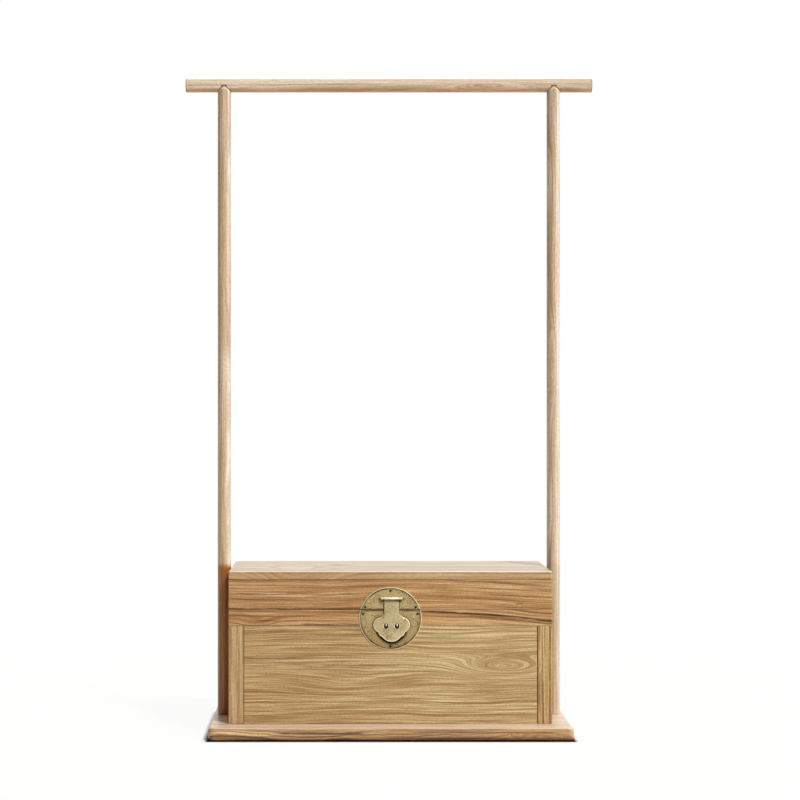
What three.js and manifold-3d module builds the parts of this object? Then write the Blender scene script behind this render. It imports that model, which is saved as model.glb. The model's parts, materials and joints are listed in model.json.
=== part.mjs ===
// A wooden stand that carries a kimono on a round bar and keeps it in a chest underneath.
// Millimetres. X runs along the bar, Y from the front to the back, Z up from the floor.
// The origin is the middle of the base's underside.
import * as THREE from "three";
import { mergeVertices } from "three/addons/utils/BufferGeometryUtils.js";
import Module from "manifold-3d";

const wasm = await Module();
wasm.setup();

// Driving dimensions: the chest.
const chestWidth = 850;
const chestDepth = 320;
const bodyHeight = 300;
const lidHeight = 100;
const boardThickness = 18;
const lidTopThickness = 22;
const bottomThickness = 12;
const railHeight = 43;
const stileWidth = 40;
const tongueThickness = 6;
const tongueLength = 8;
const tenonShoulder = 12;
const boardEase = 1.2;
const boardCorner = 1.92;
const lidTopEase = 3;
const lidTopCorner = 3.6;

// The stand: base board, two posts and the bar.
const standHeight = 1755;
const barLength = 1100;
const barDiameter = 36;
const barEndEase = 1;
const postDiameter = 36;
const postGap = 3;
const baseThickness = 34;
const baseSideMargin = 50;
const baseFrontMargin = 65;
const baseEdgeRadius = 8;
const baseCornerRadius = 14;
const barTenonDiameter = 14;
const barTenonRise = 8;
const baseTenonDiameter = 24;
const baseTenonLength = 14;

// The fasteners under the base.
const postBoltDiameter = 8;
const postBoltReach = 50;
const postBoltHeadWidth = 13;
const postBoltHeadHeight = 5;
const washerDiameter = 20;
const washerThickness = 2;
const chestScrewDiameter = 4.5;
const chestScrewHeadDiameter = 9;
const chestScrewHeadHeight = 3;
const chestScrewInsetX = 85;
const chestScrewInsetY = 60;
const chestScrewCover = 2; // wood left over the screw's tip
const headRecess = 1.5;

// The lock: a round plate split at the seam, a hasp on a pin and two eyes.
const lockPlateDiameter = 162;
const lockPlateDrop = 23;
const lockPlateThickness = 1.6;
const lockPlateSplit = 2.4;
const plateEase = 0.5;
const nailCircleDiameter = 145;
const nailDiameter = 2;
const nailLength = 14;
const nailHeadDiameter = 4.6;
const nailHeadRise = 1.4;
const lidNailAngles = [90, 24, 156];
const bodyNailAngles = [9.5, 170.5, 270];
const haspShift = 3;
const haspPinRise = 28;
const haspPinDiameter = 3;
const barrelDiameter = 9.4;
const barrelLength = 57;
const barrelEarLength = 8;
const earThickness = 4;
const haspThickness = 2.8;
const haspStandOff = 1.2;
const strapWidth = 39;
const strapLength = 39.5;
const headWaistWidth = 66.2;
const headWaistDrop = 50.9;
const headHipWidth = 67.6;
const headHipDrop = 88.6;
const headAnkleWidth = 44.2;
const headAnkleDrop = 100.7;
const haspDrop = 115.7;
const sideLobeBulge = 14.7;
const lowLobeBulge = 2.8;
const eyeSpacing = 28.6;
const eyeDrop = 70.6;
const eyeSlotWidth = 10;
const eyeSlotHeight = 15;
const eyeWireDiameter = 3.2;
const eyeLoopHeight = 10.4;
const eyeReach = 15;

// The lid's butt hinges, let into the back of the seam.
const lidOpening = 100; // degrees
const hingeSetIn = 6; // from the chest's back face to the hinge axis
const hingeLength = 60;
const hingeInset = 155; // from the chest's end to the middle of a hinge
const hingeBarrelDiameter = 7;
const hingePinDiameter = 2.6;
const leafWidth = 10.5; // from the hinge axis to the leaf's edge
const leafThickness = 1.7;
const leafScrewSpacing = 34;
const leafScrewInset = 3.4; // from the leaf's edge to its screws
const leafScrewDiameter = 2.4;
const leafScrewHeadDiameter = 4.8;
const leafScrewLength = 12;

// Clearances.
const fitGap = 0.3; // between pieces that are fitted to each other
const snugGap = 0.15; // around thin wire and small screws
const copeGap = 0.2; // between a post's scribed top and the bar
const pinGap = 0.12; // between a pin and its knuckles
const leafGap = 0.2; // between the two leaves of a closed hinge

// Worked out from them.
const barRadius = barDiameter / 2;
const postRadius = postDiameter / 2;
const barAxisHeight = standHeight - barRadius;
const postX = chestWidth / 2 + postGap + postRadius;
const baseTop = baseThickness + fitGap; // where what stands on the base begins
const seamHeight = baseTop + bodyHeight;
const baseWidth = chestWidth + 2 * baseSideMargin;
const baseDepth = chestDepth + 2 * baseFrontMargin;
const frontY = -chestDepth / 2;
const hingeX = chestWidth / 2 - hingeInset;
const hingeY = chestDepth / 2 - hingeSetIn;
const railBottom = bodyHeight - railHeight;
const panelHeight = railBottom - fitGap;
const panelWidth = chestWidth - 2 * stileWidth - 2 * fitGap;
const innerWidth = chestWidth - 2 * boardThickness - 2 * fitGap;
const innerDepth = chestDepth - 2 * boardThickness - 2 * fitGap;
const skirtHeight = lidHeight - lidTopThickness - 2 * fitGap;
const nailCircleRadius = nailCircleDiameter / 2;
const barrelRadius = barrelDiameter / 2;
const hingeBarrelRadius = hingeBarrelDiameter / 2;
const plateBackY = frontY - fitGap;
const plateFrontY = plateBackY - lockPlateThickness;
const haspPinY = plateFrontY - barrelRadius - fitGap;
const TINY = 0.05; // how far a cutter runs past the face that it opens
const LAP = 1; // how far shapes that are joined run into each other

const wood = (name, color) =>
  new THREE.MeshStandardMaterial({ name, color, roughness: 0.62, metalness: 0 });
const metal = (name, color, roughness) =>
  new THREE.MeshStandardMaterial({ name, color, roughness, metalness: 1 });
const poleWood = () => wood("pole_wood", 0xcdad8d);
const chestWood = () => wood("chest_wood", 0xbb9164);
const panelWood = () => wood("panel_wood", 0xbd9b6d);
const baseWood = () => wood("base_wood", 0xa27e57);
const lockBrass = () => metal("lock_brass", 0xac9468, 0.45);
const nailBrass = () => metal("nail_brass", 0x4a3c28, 0.5);
const hingeBrass = () => metal("hinge_brass", 0x8f7a4e, 0.4);
const steel = () => metal("zinc_steel", 0xa9abad, 0.35);

// ---- Shapes and booleans ----

// A closed three.js geometry as a solid that can be joined and cut.
function solid(geometry) {
  const bare = new THREE.BufferGeometry();
  const flat = geometry.index ? geometry.toNonIndexed() : geometry;
  bare.setAttribute("position", flat.getAttribute("position"));
  const merged = mergeVertices(bare, 1e-4);
  return new wasm.Manifold(
    new wasm.Mesh({
      numProp: 3,
      vertProperties: merged.attributes.position.array,
      triVerts: new Uint32Array(merged.index.array),
    }),
  );
}

// A solid back as a geometry with flat-shaded faces.
function surface(body) {
  const mesh = body.getMesh();
  const shared = new THREE.BufferGeometry();
  shared.setAttribute("position", new THREE.BufferAttribute(mesh.vertProperties, 3));
  shared.setIndex(new THREE.BufferAttribute(mesh.triVerts, 1));
  const faceted = shared.toNonIndexed();
  faceted.computeVertexNormals();
  return faceted;
}

const join = (...bodies) => bodies.reduce((whole, body) => whole.add(body));
const cut = (body, ...cutters) => cutters.reduce((rest, cutter) => rest.subtract(cutter), body);

// A sharp-edged block between two corners.
function block(low, high) {
  const size = high.map((value, axis) => value - low[axis]);
  const centre = high.map((value, axis) => (value + low[axis]) / 2);
  return solid(new THREE.BoxGeometry(...size).translate(...centre));
}

// A round bar between two values along one axis, through a point in the other two.
function rod(axis, radius, from, to, centre, sides = 16) {
  const round = new THREE.CylinderGeometry(radius, radius, to - from, sides);
  round.translate(0, (from + to) / 2, 0);
  if (axis === "x") round.rotateZ(-Math.PI / 2).translate(0, centre[0], centre[1]);
  if (axis === "y") round.translate(centre[0], 0, centre[1]);
  if (axis === "z") round.rotateX(Math.PI / 2).translate(centre[0], centre[1], 0);
  return solid(round);
}

// A shape turned about Z from [radius, height] points, the lowest first.
function turned(points, sides = 24) {
  const profile = points.map(([radius, height]) => new THREE.Vector2(radius, height));
  return new THREE.LatheGeometry(profile, sides).rotateX(Math.PI / 2);
}

// A rectangle with round corners.
function roundedRectangle(width, height, radius) {
  const x = width / 2;
  const y = height / 2;
  const outline = new THREE.Shape();
  outline.moveTo(x, y - radius);
  outline.absarc(x - radius, y - radius, radius, 0, Math.PI / 2);
  outline.absarc(radius - x, y - radius, radius, Math.PI / 2, Math.PI);
  outline.absarc(radius - x, radius - y, radius, Math.PI, 1.5 * Math.PI);
  outline.absarc(x - radius, radius - y, radius, 1.5 * Math.PI, 2 * Math.PI);
  return outline;
}

// A board with all its edges eased, its middle at the origin.
function board(width, depth, height, ease = boardEase, corner = boardCorner, steps = 2) {
  const outline = roundedRectangle(width, depth, corner);
  const shape = new THREE.ExtrudeGeometry(outline, {
    depth: height - 2 * ease,
    bevelThickness: ease,
    bevelSize: ease,
    bevelOffset: -ease,
    bevelSegments: steps,
    curveSegments: Math.ceil(steps / 2),
  });
  return shape.translate(0, 0, ease - height / 2);
}

// A flat plate that faces the front, its back at y = 0.
function plate(outline, thickness, ease, curveSteps) {
  const shape = new THREE.ExtrudeGeometry(outline, {
    depth: thickness - 2 * ease,
    bevelThickness: ease,
    bevelSize: ease,
    bevelOffset: -ease,
    bevelSegments: 1,
    curveSegments: curveSteps,
  });
  return shape.translate(0, 0, ease).rotateX(Math.PI / 2);
}

// Puts a named piece in a group, at its place there.
function add(group, name, shape, material, x = 0, y = 0, z = 0) {
  const geometry = shape.isBufferGeometry ? shape : surface(shape);
  const mesh = new THREE.Mesh(geometry, material);
  mesh.name = name;
  mesh.position.set(x, y, z);
  group.add(mesh);
}

// A group inside another, with its own origin.
function groupAt(parent, name, x, y, z) {
  const group = new THREE.Group();
  group.name = name;
  group.position.set(x, y, z);
  parent.add(group);
  return group;
}

// ---- The stand ----

const counterboreDepth = headRecess + postBoltHeadHeight + washerThickness + 2 * fitGap;
const screwSeatDepth = headRecess + chestScrewHeadHeight + fitGap;
const chestScrewX = chestWidth / 2 - chestScrewInsetX;
const chestScrewY = chestDepth / 2 - chestScrewInsetY;
const sides = [
  { side: "left", sign: -1 },
  { side: "right", sign: 1 },
];
const corners = sides.flatMap((across) => [
  { name: `front_${across.side}`, x: across.sign * chestScrewX, y: -chestScrewY },
  { name: `back_${across.side}`, x: across.sign * chestScrewX, y: chestScrewY },
]);

// The base: one plank with round edges, mortises for the posts and recessed holes underneath.
function makeBase(group) {
  const middle = baseThickness / 2;
  const plank = board(baseWidth, baseDepth, baseThickness, baseEdgeRadius, baseCornerRadius, 3);
  let body = solid(plank.translate(0, 0, middle));
  const top = baseThickness + TINY;
  for (const { sign } of sides) {
    const at = [sign * postX, 0];
    const mortiseRadius = baseTenonDiameter / 2 + fitGap;
    const floor = baseThickness - baseTenonLength;
    body = cut(
      body,
      rod("z", mortiseRadius, floor, top, at, 24),
      rod("z", postBoltDiameter / 2 + fitGap, -TINY, top, at),
      rod("z", washerDiameter / 2 + fitGap, -TINY, counterboreDepth, at, 20),
    );
  }
  for (const { x, y } of corners) {
    body = cut(
      body,
      rod("z", chestScrewDiameter / 2 + fitGap, -TINY, top, [x, y], 12),
      rod("z", chestScrewHeadDiameter / 2 + fitGap, -TINY, screwSeatDepth, [x, y], 12),
    );
  }
  add(group, "base_board", body, baseWood());
}

// A post: a tenon and a bolt hole below, the top scribed to the bar with a tenon into it.
function makePost(group, { side, sign }) {
  const saddle = barAxisHeight - baseTop;
  const shaft = rod("z", postRadius, 0, saddle, [0, 0], 48);
  const cope = rod("x", barRadius + copeGap, -postDiameter, postDiameter, [0, saddle], 48);
  const topTenonFoot = saddle - 2 * barRadius;
  const topTenonTop = saddle + barTenonRise;
  const topTenon = rod("z", barTenonDiameter / 2, topTenonFoot, topTenonTop, [0, 0], 24);
  const lowTenon = rod("z", baseTenonDiameter / 2, -baseTenonLength, LAP, [0, 0], 24);
  const bore = postBoltDiameter / 2 + fitGap;
  const boltHole = rod("z", bore, -baseTenonLength - TINY, postBoltReach + fitGap, [0, 0]);
  const body = cut(join(cut(shaft, cope), topTenon, lowTenon), boltHole);
  add(group, `${side}_post`, body, poleWood(), sign * postX, 0, baseTop);
}

// The bar, with its ends just eased and a blind mortise over each post.
function makeBar(group) {
  const half = barLength / 2;
  const profile = [
    [0, -half],
    [barRadius - barEndEase, -half],
    [barRadius, barEndEase - half],
    [barRadius, half - barEndEase],
    [barRadius - barEndEase, half],
    [0, half],
  ];
  const bar = turned(profile, 48).rotateY(Math.PI / 2);
  const mortiseRadius = barTenonDiameter / 2 + fitGap;
  const mortises = sides.map(({ sign }) =>
    rod("z", mortiseRadius, -barDiameter, barTenonRise + fitGap, [sign * postX, 0], 24),
  );
  add(group, "hanging_bar", cut(solid(bar), ...mortises), poleWood(), 0, 0, barAxisHeight);
}

// A hexagon-headed bolt up through the base into each post, with its washer.
function makePostFastening(group, { side, sign }) {
  const underWasher = counterboreDepth - fitGap - washerThickness;
  const underHead = underWasher - fitGap;
  const head = rod("z", postBoltHeadWidth / 2, underHead - postBoltHeadHeight, underHead, [0, 0], 6);
  const tip = baseThickness + postBoltReach;
  const shank = rod("z", postBoltDiameter / 2, underHead - LAP, tip, [0, 0]);
  add(group, `${side}_post_bolt`, join(head, shank), steel(), sign * postX);
  const disc = rod("z", washerDiameter / 2, 0, washerThickness, [0, 0], 20);
  const bore = postBoltDiameter / 2 + fitGap;
  const hole = rod("z", bore, -TINY, washerThickness + TINY, [0, 0]);
  add(group, `${side}_post_washer`, cut(disc, hole), steel(), sign * postX, 0, underWasher);
}

// A pan-headed screw up through the base into the chest's bottom board.
function makeChestScrew(group, { name, x, y }) {
  const shankRadius = chestScrewDiameter / 2;
  const headRadius = chestScrewHeadDiameter / 2;
  const tip = baseThickness + bottomThickness - chestScrewCover - screwSeatDepth;
  const screw = turned(
    [
      [0, -chestScrewHeadHeight],
      [0.7 * headRadius, -chestScrewHeadHeight],
      [headRadius, -0.4 * chestScrewHeadHeight],
      [headRadius, 0],
      [shankRadius, 0],
      [shankRadius, tip - chestScrewDiameter],
      [0, tip],
    ],
    8,
  );
  add(group, `chest_screw_${name}`, screw, steel(), x, y, screwSeatDepth - fitGap);
}

// ---- The chest's body ----

// A nail's hole, in the frame of a piece whose middle is at (x, z) on the lock plate.
function nailHole(x, z) {
  return rod("y", nailDiameter / 2 + fitGap, -boardThickness, boardThickness, [x, z], 8);
}

// Where a nail of the lock plate stands, from the middle of the seam.
function nailPlace(angle) {
  const turn = THREE.MathUtils.degToRad(angle);
  return {
    x: nailCircleRadius * Math.cos(turn),
    z: nailCircleRadius * Math.sin(turn) - lockPlateDrop,
  };
}

const grooveHalf = tongueThickness / 2 + fitGap;

// The rail over the panel: a groove underneath takes the panel's tongue and the stiles' tenons.
function railShape() {
  const height = railHeight - fitGap;
  const foot = -height / 2;
  const reach = chestWidth / 2 - tenonShoulder + fitGap;
  const groove = block(
    [-reach, -grooveHalf, foot - TINY],
    [reach, grooveHalf, foot + tongueLength + fitGap],
  );
  return cut(solid(board(chestWidth, boardThickness, height)), groove);
}

// A stile with a tenon up into the rail and a groove along its inner edge, here on the +X side.
function stileShape() {
  const half = stileWidth / 2;
  const top = panelHeight / 2;
  const tenon = block(
    [LAP - half, -tongueThickness / 2, top - LAP - boardEase],
    [half - tenonShoulder, tongueThickness / 2, top + tongueLength],
  );
  const groove = block(
    [-half - TINY, -grooveHalf, -top - TINY],
    [tongueLength + fitGap - half, grooveHalf, top + tongueLength + TINY],
  );
  return cut(join(solid(board(stileWidth, boardThickness, panelHeight)), tenon), groove);
}

// The panel between the stiles, flush with them, with a tongue on three sides.
function panelShape() {
  const reach = panelWidth / 2 + tongueLength;
  const tongue = block(
    [-reach, -tongueThickness / 2, boardEase - panelHeight / 2],
    [reach, tongueThickness / 2, panelHeight / 2 + tongueLength],
  );
  return join(solid(board(panelWidth, boardThickness, panelHeight)), tongue);
}

// The bevel that lets the lid lean back: a wedge behind the hinge axis, above or below the seam.
function bevelCutter(up) {
  const rise = Math.tan(THREE.MathUtils.degToRad(lidOpening / 2));
  const far = 2 * hingeSetIn;
  const wedge = new THREE.Shape();
  wedge.moveTo(0, -fitGap);
  wedge.lineTo(0, fitGap);
  wedge.lineTo(far, fitGap + far * rise);
  wedge.lineTo(far, -fitGap);
  const length = chestWidth + 2 * TINY;
  const shape = new THREE.ExtrudeGeometry(wedge, { depth: length, bevelEnabled: false });
  const alongX = new THREE.Matrix4().makeBasis(
    new THREE.Vector3(0, 1, 0),
    new THREE.Vector3(0, 0, 1),
    new THREE.Vector3(1, 0, 0),
  );
  const wedgeSolid = solid(shape.translate(0, 0, -length / 2).applyMatrix4(alongX));
  return up > 0 ? wedgeSolid : wedgeSolid.rotate([0, 180, 0]);
}

// What the hinges take out of a board at the seam, seen from the hinge axis.
function hingeCutters(up) {
  const outer = hingeLength / 2 + fitGap;
  const deep = leafGap / 2 + leafThickness + fitGap;
  const screwReach = leafScrewLength + fitGap + leafGap;
  return sides.flatMap(({ sign }) => {
    const x = sign * hingeX;
    const leafBed = block(
      [x - outer, -leafWidth - fitGap, up > 0 ? -LAP : -deep],
      [x + outer, 0, up > 0 ? deep : LAP],
    );
    const barrelBed = rod("x", hingeBarrelRadius + fitGap, x - outer, x + outer, [0, 0], 16);
    const screwHoles = sides.map((along) => {
      const at = [x + (along.sign * leafScrewSpacing) / 2, leafScrewInset - leafWidth];
      const radius = leafScrewDiameter / 2 + fitGap;
      return rod("z", radius, up > 0 ? 0 : -screwReach, up > 0 ? screwReach : 0, at, 8);
    });
    return [leafBed, barrelBed, ...screwHoles];
  });
}

function makeBody(group) {
  const railMiddle = railBottom + (railHeight - fitGap) / 2;
  const panelMiddle = panelHeight / 2;
  const faceY = chestDepth / 2 - boardThickness / 2;
  const [upperNails, lowNail] = [bodyNailAngles.slice(0, 2), bodyNailAngles[2]];
  const railHoles = upperNails.map(nailPlace).map(({ x, z }) => {
    return nailHole(x, z + bodyHeight - railMiddle);
  });
  const low = nailPlace(lowNail);
  const panelHole = nailHole(low.x, low.z + bodyHeight - panelMiddle);
  const seamCutters = [bevelCutter(-1), ...hingeCutters(-1)].map((cutter) =>
    cutter.translate([0, hingeY - faceY, bodyHeight - railMiddle]),
  );

  add(group, "front_top_rail", cut(railShape(), ...railHoles), chestWood(), 0, -faceY, railMiddle);
  add(group, "back_top_rail", cut(railShape(), ...seamCutters), chestWood(), 0, faceY, railMiddle);
  add(group, "front_panel", cut(panelShape(), panelHole), panelWood(), 0, -faceY, panelMiddle);
  add(group, "back_panel", panelShape(), panelWood(), 0, faceY, panelMiddle);
  for (const { side, sign } of sides) {
    const stile = sign > 0 ? stileShape() : stileShape().rotate([0, 0, 180]);
    const stileX = sign * (chestWidth / 2 - stileWidth / 2);
    add(group, `front_${side}_stile`, stile, chestWood(), stileX, -faceY, panelMiddle);
    add(group, `back_${side}_stile`, stile, chestWood(), stileX, faceY, panelMiddle);
    const sideHeight = bodyHeight - fitGap;
    const sideBoard = board(boardThickness, innerDepth, sideHeight);
    const sideX = sign * (chestWidth / 2 - boardThickness / 2);
    add(group, `${side}_side_board`, sideBoard, chestWood(), sideX, 0, sideHeight / 2);
  }
  const bottomMiddle = bottomThickness / 2;
  const screwHoles = corners.map(({ x, y }) => {
    const radius = chestScrewDiameter / 2 + fitGap;
    const holeTop = bottomMiddle - chestScrewCover + fitGap;
    return rod("z", radius, -bottomThickness, holeTop, [x, y], 12);
  });
  const bottom = solid(board(innerWidth, innerDepth, bottomThickness));
  add(group, "bottom_board", cut(bottom, ...screwHoles), chestWood(), 0, 0, bottomMiddle);
}

// ---- The lid, in a group that turns about the hinge axis ----

function makeLid(group) {
  const skirtMiddle = fitGap + skirtHeight / 2;
  const faceY = chestDepth / 2 - boardThickness / 2;
  const top = board(chestWidth, chestDepth, lidTopThickness, lidTopEase, lidTopCorner, 3);
  add(group, "lid_top", top, chestWood(), 0, -hingeY, lidHeight - lidTopThickness / 2);

  const skirt = () => solid(board(chestWidth, boardThickness, skirtHeight));
  const nailHoles = lidNailAngles.map(nailPlace).map(({ x, z }) => nailHole(x, z - skirtMiddle));
  const seamCutters = [bevelCutter(1), ...hingeCutters(1)].map((cutter) =>
    cutter.translate([0, hingeY - faceY, -skirtMiddle]),
  );
  const front = cut(skirt(), ...nailHoles);
  add(group, "lid_front", front, chestWood(), 0, -faceY - hingeY, skirtMiddle);
  const back = cut(skirt(), ...seamCutters);
  add(group, "lid_back", back, chestWood(), 0, faceY - hingeY, skirtMiddle);
  for (const { side, sign } of sides) {
    const x = sign * (chestWidth / 2 - boardThickness / 2);
    const end = board(boardThickness, innerDepth, skirtHeight);
    add(group, `lid_${side}`, end, chestWood(), x, -hingeY, skirtMiddle);
  }
}

// ---- The lid's hinges ----

// One leaf seen from the hinge axis; up = 1 is the lid's, with the middle knuckle.
function leafShape(up) {
  const half = hingeLength / 2;
  const third = hingeLength / 3;
  const knuckles =
    up > 0 ? [[fitGap - third / 2, third / 2 - fitGap]] : [[-half, -third / 2], [third / 2, half]];
  const low = up > 0 ? leafGap / 2 : -leafGap / 2 - leafThickness;
  const high = low + leafThickness;
  const root = -hingeBarrelRadius - fitGap;
  let leaf = block([-half, -leafWidth, low], [half, root, high]);
  for (const [from, to] of knuckles) {
    leaf = join(
      leaf,
      block([from, root - LAP, low], [to, 0, high]),
      rod("x", hingeBarrelRadius, from, to, [0, 0], 16),
    );
  }
  leaf = cut(leaf, rod("x", hingePinDiameter / 2 + pinGap, -half - TINY, half + TINY, [0, 0], 12));
  for (const { sign } of sides) {
    leaf = cut(leaf, leafScrewSeat(up, (sign * leafScrewSpacing) / 2));
  }
  return leaf;
}

// A countersunk seat through the leaf, its wide end at the seam.
function leafScrewSeat(up, x) {
  const head = leafScrewHeadDiameter / 2 + snugGap;
  const shank = leafScrewDiameter / 2 + snugGap;
  const seat = turned(
    [
      [0, -TINY],
      [head, -TINY],
      [shank, head - shank],
      [shank, leafThickness + leafGap],
      [0, leafThickness + leafGap],
    ],
    8,
  );
  const body = solid(seat).translate([0, 0, leafGap / 2]);
  return placeAtScrew(body, up, x);
}

function leafScrewShape(up, x) {
  const head = leafScrewHeadDiameter / 2 - snugGap;
  const shank = leafScrewDiameter / 2;
  const screw = turned(
    [
      [0, 0],
      [head, 0],
      [shank, head - shank],
      [shank, leafScrewLength - leafScrewDiameter],
      [0, leafScrewLength],
    ],
    8,
  );
  return placeAtScrew(solid(screw).translate([0, 0, leafGap / 2]), up, x);
}

// Turns a screw or its seat to point up into the lid or down into the body.
function placeAtScrew(body, up, x) {
  const pointed = up > 0 ? body : body.rotate([180, 0, 0]);
  return pointed.translate([x, leafScrewInset - leafWidth, 0]);
}

function makeHinge(bodyGroup, lidGroup, { side, sign }) {
  const x = sign * hingeX;
  const pin = rod("x", hingePinDiameter / 2, -hingeLength / 2, hingeLength / 2, [0, 0], 12);
  add(bodyGroup, `${side}_hinge_pin`, pin, hingeBrass(), x);
  add(bodyGroup, `${side}_hinge_body_leaf`, leafShape(-1), hingeBrass(), x);
  add(lidGroup, `${side}_hinge_lid_leaf`, leafShape(1), hingeBrass(), x);
  sides.forEach((along, index) => {
    const at = (along.sign * leafScrewSpacing) / 2;
    const number = index + 1;
    add(bodyGroup, `${side}_body_leaf_screw_${number}`, leafScrewShape(-1, at), hingeBrass(), x);
    add(lidGroup, `${side}_lid_leaf_screw_${number}`, leafScrewShape(1, at), hingeBrass(), x);
  });
}

// ---- The lock ----

// The part of the round plate above or below the split, seen from the middle of the seam.
function plateOutline(up) {
  const radius = lockPlateDiameter / 2;
  const edge = lockPlateDrop + (up * lockPlateSplit) / 2;
  const start = Math.asin(edge / radius);
  const outline = new THREE.Shape();
  if (up > 0) outline.absarc(0, -lockPlateDrop, radius, start, Math.PI - start);
  else outline.absarc(0, -lockPlateDrop, radius, Math.PI - start, 2 * Math.PI + start);
  outline.closePath();
  return outline;
}

function plateHole(radius, x, z, holeSides = 8) {
  return rod("y", radius, -lockPlateThickness - TINY, TINY, [x, z], holeSides);
}

// The lid's plate, with the two ears that hold the hasp's pin.
function upperPlateShape() {
  let body = solid(plate(plateOutline(1), lockPlateThickness, plateEase, 16));
  for (const { x, z } of lidNailAngles.map(nailPlace)) {
    body = cut(body, plateHole(nailDiameter / 2 + fitGap, x, z));
  }
  const axisY = haspPinY - plateBackY;
  const earMiddle = barrelLength / 2 - barrelEarLength / 2;
  for (const { sign } of sides) {
    const from = haspShift + sign * earMiddle - barrelEarLength / 2;
    const to = from + barrelEarLength;
    const web = block(
      [from, axisY, haspPinRise - earThickness / 2],
      [to, -lockPlateThickness / 2, haspPinRise + earThickness / 2],
    );
    body = join(body, web, rod("x", barrelRadius, from, to, [axisY, haspPinRise], 20));
  }
  const bore = haspPinDiameter / 2 + pinGap;
  const reach = barrelLength;
  return cut(body, rod("x", bore, haspShift - reach, haspShift + reach, [axisY, haspPinRise]));
}

// The body's plate, with the holes of the two eyes.
function lowerPlateShape() {
  let body = solid(plate(plateOutline(-1), lockPlateThickness, plateEase, 24));
  for (const { x, z } of bodyNailAngles.map(nailPlace)) {
    body = cut(body, plateHole(nailDiameter / 2 + fitGap, x, z));
  }
  for (const { sign } of sides) {
    const x = haspShift + (sign * eyeSpacing) / 2;
    for (const end of [-1, 1]) {
      const z = haspPinRise - eyeDrop + (end * eyeLoopHeight) / 2;
      body = cut(body, plateHole(eyeWireDiameter / 2 + snugGap, x, z, 12));
    }
  }
  return body;
}

// Adds an arc to an outline: from its last point to (x, y), bulging out by rise on its right.
function bulge(outline, x, y, rise) {
  const from = outline.currentPoint;
  const chord = Math.hypot(x - from.x, y - from.y);
  const radius = (chord * chord) / (8 * rise) + rise / 2;
  const inward = radius - rise;
  const centreX = (from.x + x) / 2 + (inward * (from.y - y)) / chord;
  const centreY = (from.y + y) / 2 + (inward * (x - from.x)) / chord;
  const start = Math.atan2(from.y - centreY, from.x - centreX);
  const end = Math.atan2(y - centreY, x - centreX);
  outline.absarc(centreX, centreY, radius, start, end);
}

// The hasp's outline, hanging from its pin: a strap and a head of five cloud-like lobes.
function haspOutline() {
  const strap = strapWidth / 2;
  const outline = new THREE.Shape();
  outline.moveTo(-strap, 0);
  outline.lineTo(-strap, -strapLength);
  outline.lineTo(-headWaistWidth / 2, -headWaistDrop);
  bulge(outline, -headHipWidth / 2, -headHipDrop, sideLobeBulge);
  bulge(outline, -headAnkleWidth / 2, -headAnkleDrop, lowLobeBulge);
  bulge(outline, headAnkleWidth / 2, -headAnkleDrop, haspDrop - headAnkleDrop);
  bulge(outline, headHipWidth / 2, -headHipDrop, lowLobeBulge);
  bulge(outline, headWaistWidth / 2, -headWaistDrop, sideLobeBulge);
  outline.lineTo(strap, -strapLength);
  outline.lineTo(strap, 0);
  outline.closePath();
  for (const { sign } of sides) outline.holes.push(eyeSlot((sign * eyeSpacing) / 2));
  return outline;
}

// One upright oval slot of the hasp.
function eyeSlot(x) {
  const radius = eyeSlotWidth / 2;
  const straight = eyeSlotHeight / 2 - radius;
  const slot = new THREE.Path();
  slot.absarc(x, straight - eyeDrop, radius, 0, Math.PI);
  slot.absarc(x, -straight - eyeDrop, radius, Math.PI, 2 * Math.PI);
  slot.closePath();
  return slot;
}

// The hasp: a flat plate that hangs from its knuckle, seen from the pin.
function haspShape() {
  const backY = plateFrontY - haspStandOff - haspPinY;
  const flat = solid(plate(haspOutline(), haspThickness, plateEase, 6)).translate([0, backY, 0]);
  const half = barrelLength / 2 - barrelEarLength - fitGap;
  const knuckle = rod("x", barrelRadius, -half, half, [0, 0], 20);
  const bore = rod("x", haspPinDiameter / 2 + pinGap, -barrelLength, barrelLength, [0, 0]);
  return cut(join(flat, knuckle), bore);
}

// A staple of round wire, its legs in the lower plate and its loop through the hasp.
class StaplePath extends THREE.Curve {
  getPoint(t) {
    const radius = eyeLoopHeight / 2;
    const straight = eyeReach + lockPlateThickness - radius - eyeWireDiameter / 2;
    const length = 2 * straight + Math.PI * radius;
    const run = t * length;
    if (run < straight) return new THREE.Vector3(0, -run, -radius);
    if (run > length - straight) return new THREE.Vector3(0, run - length, radius);
    const turn = (run - straight) / radius - Math.PI / 2;
    return new THREE.Vector3(0, -straight - radius * Math.cos(turn), radius * Math.sin(turn));
  }
}

function eyeShape() {
  const section = new THREE.Shape();
  section.absarc(0, 0, eyeWireDiameter / 2, 0, 2 * Math.PI);
  const options = { steps: 18, curveSegments: 4, extrudePath: new StaplePath() };
  return solid(new THREE.ExtrudeGeometry(section, { ...options, bevelEnabled: false }));
}

// A nail with a low domed head, driven towards the back.
function nailShape() {
  const shank = nailDiameter / 2;
  const head = nailHeadDiameter / 2;
  const nail = turned(
    [
      [0, -nailHeadRise],
      [0.55 * head, -0.85 * nailHeadRise],
      [0.9 * head, -0.45 * nailHeadRise],
      [head, 0],
      [shank, 0],
      [shank, nailLength - nailDiameter],
      [0, nailLength],
    ],
    10,
  );
  return nail.rotateX(-Math.PI / 2);
}

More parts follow.
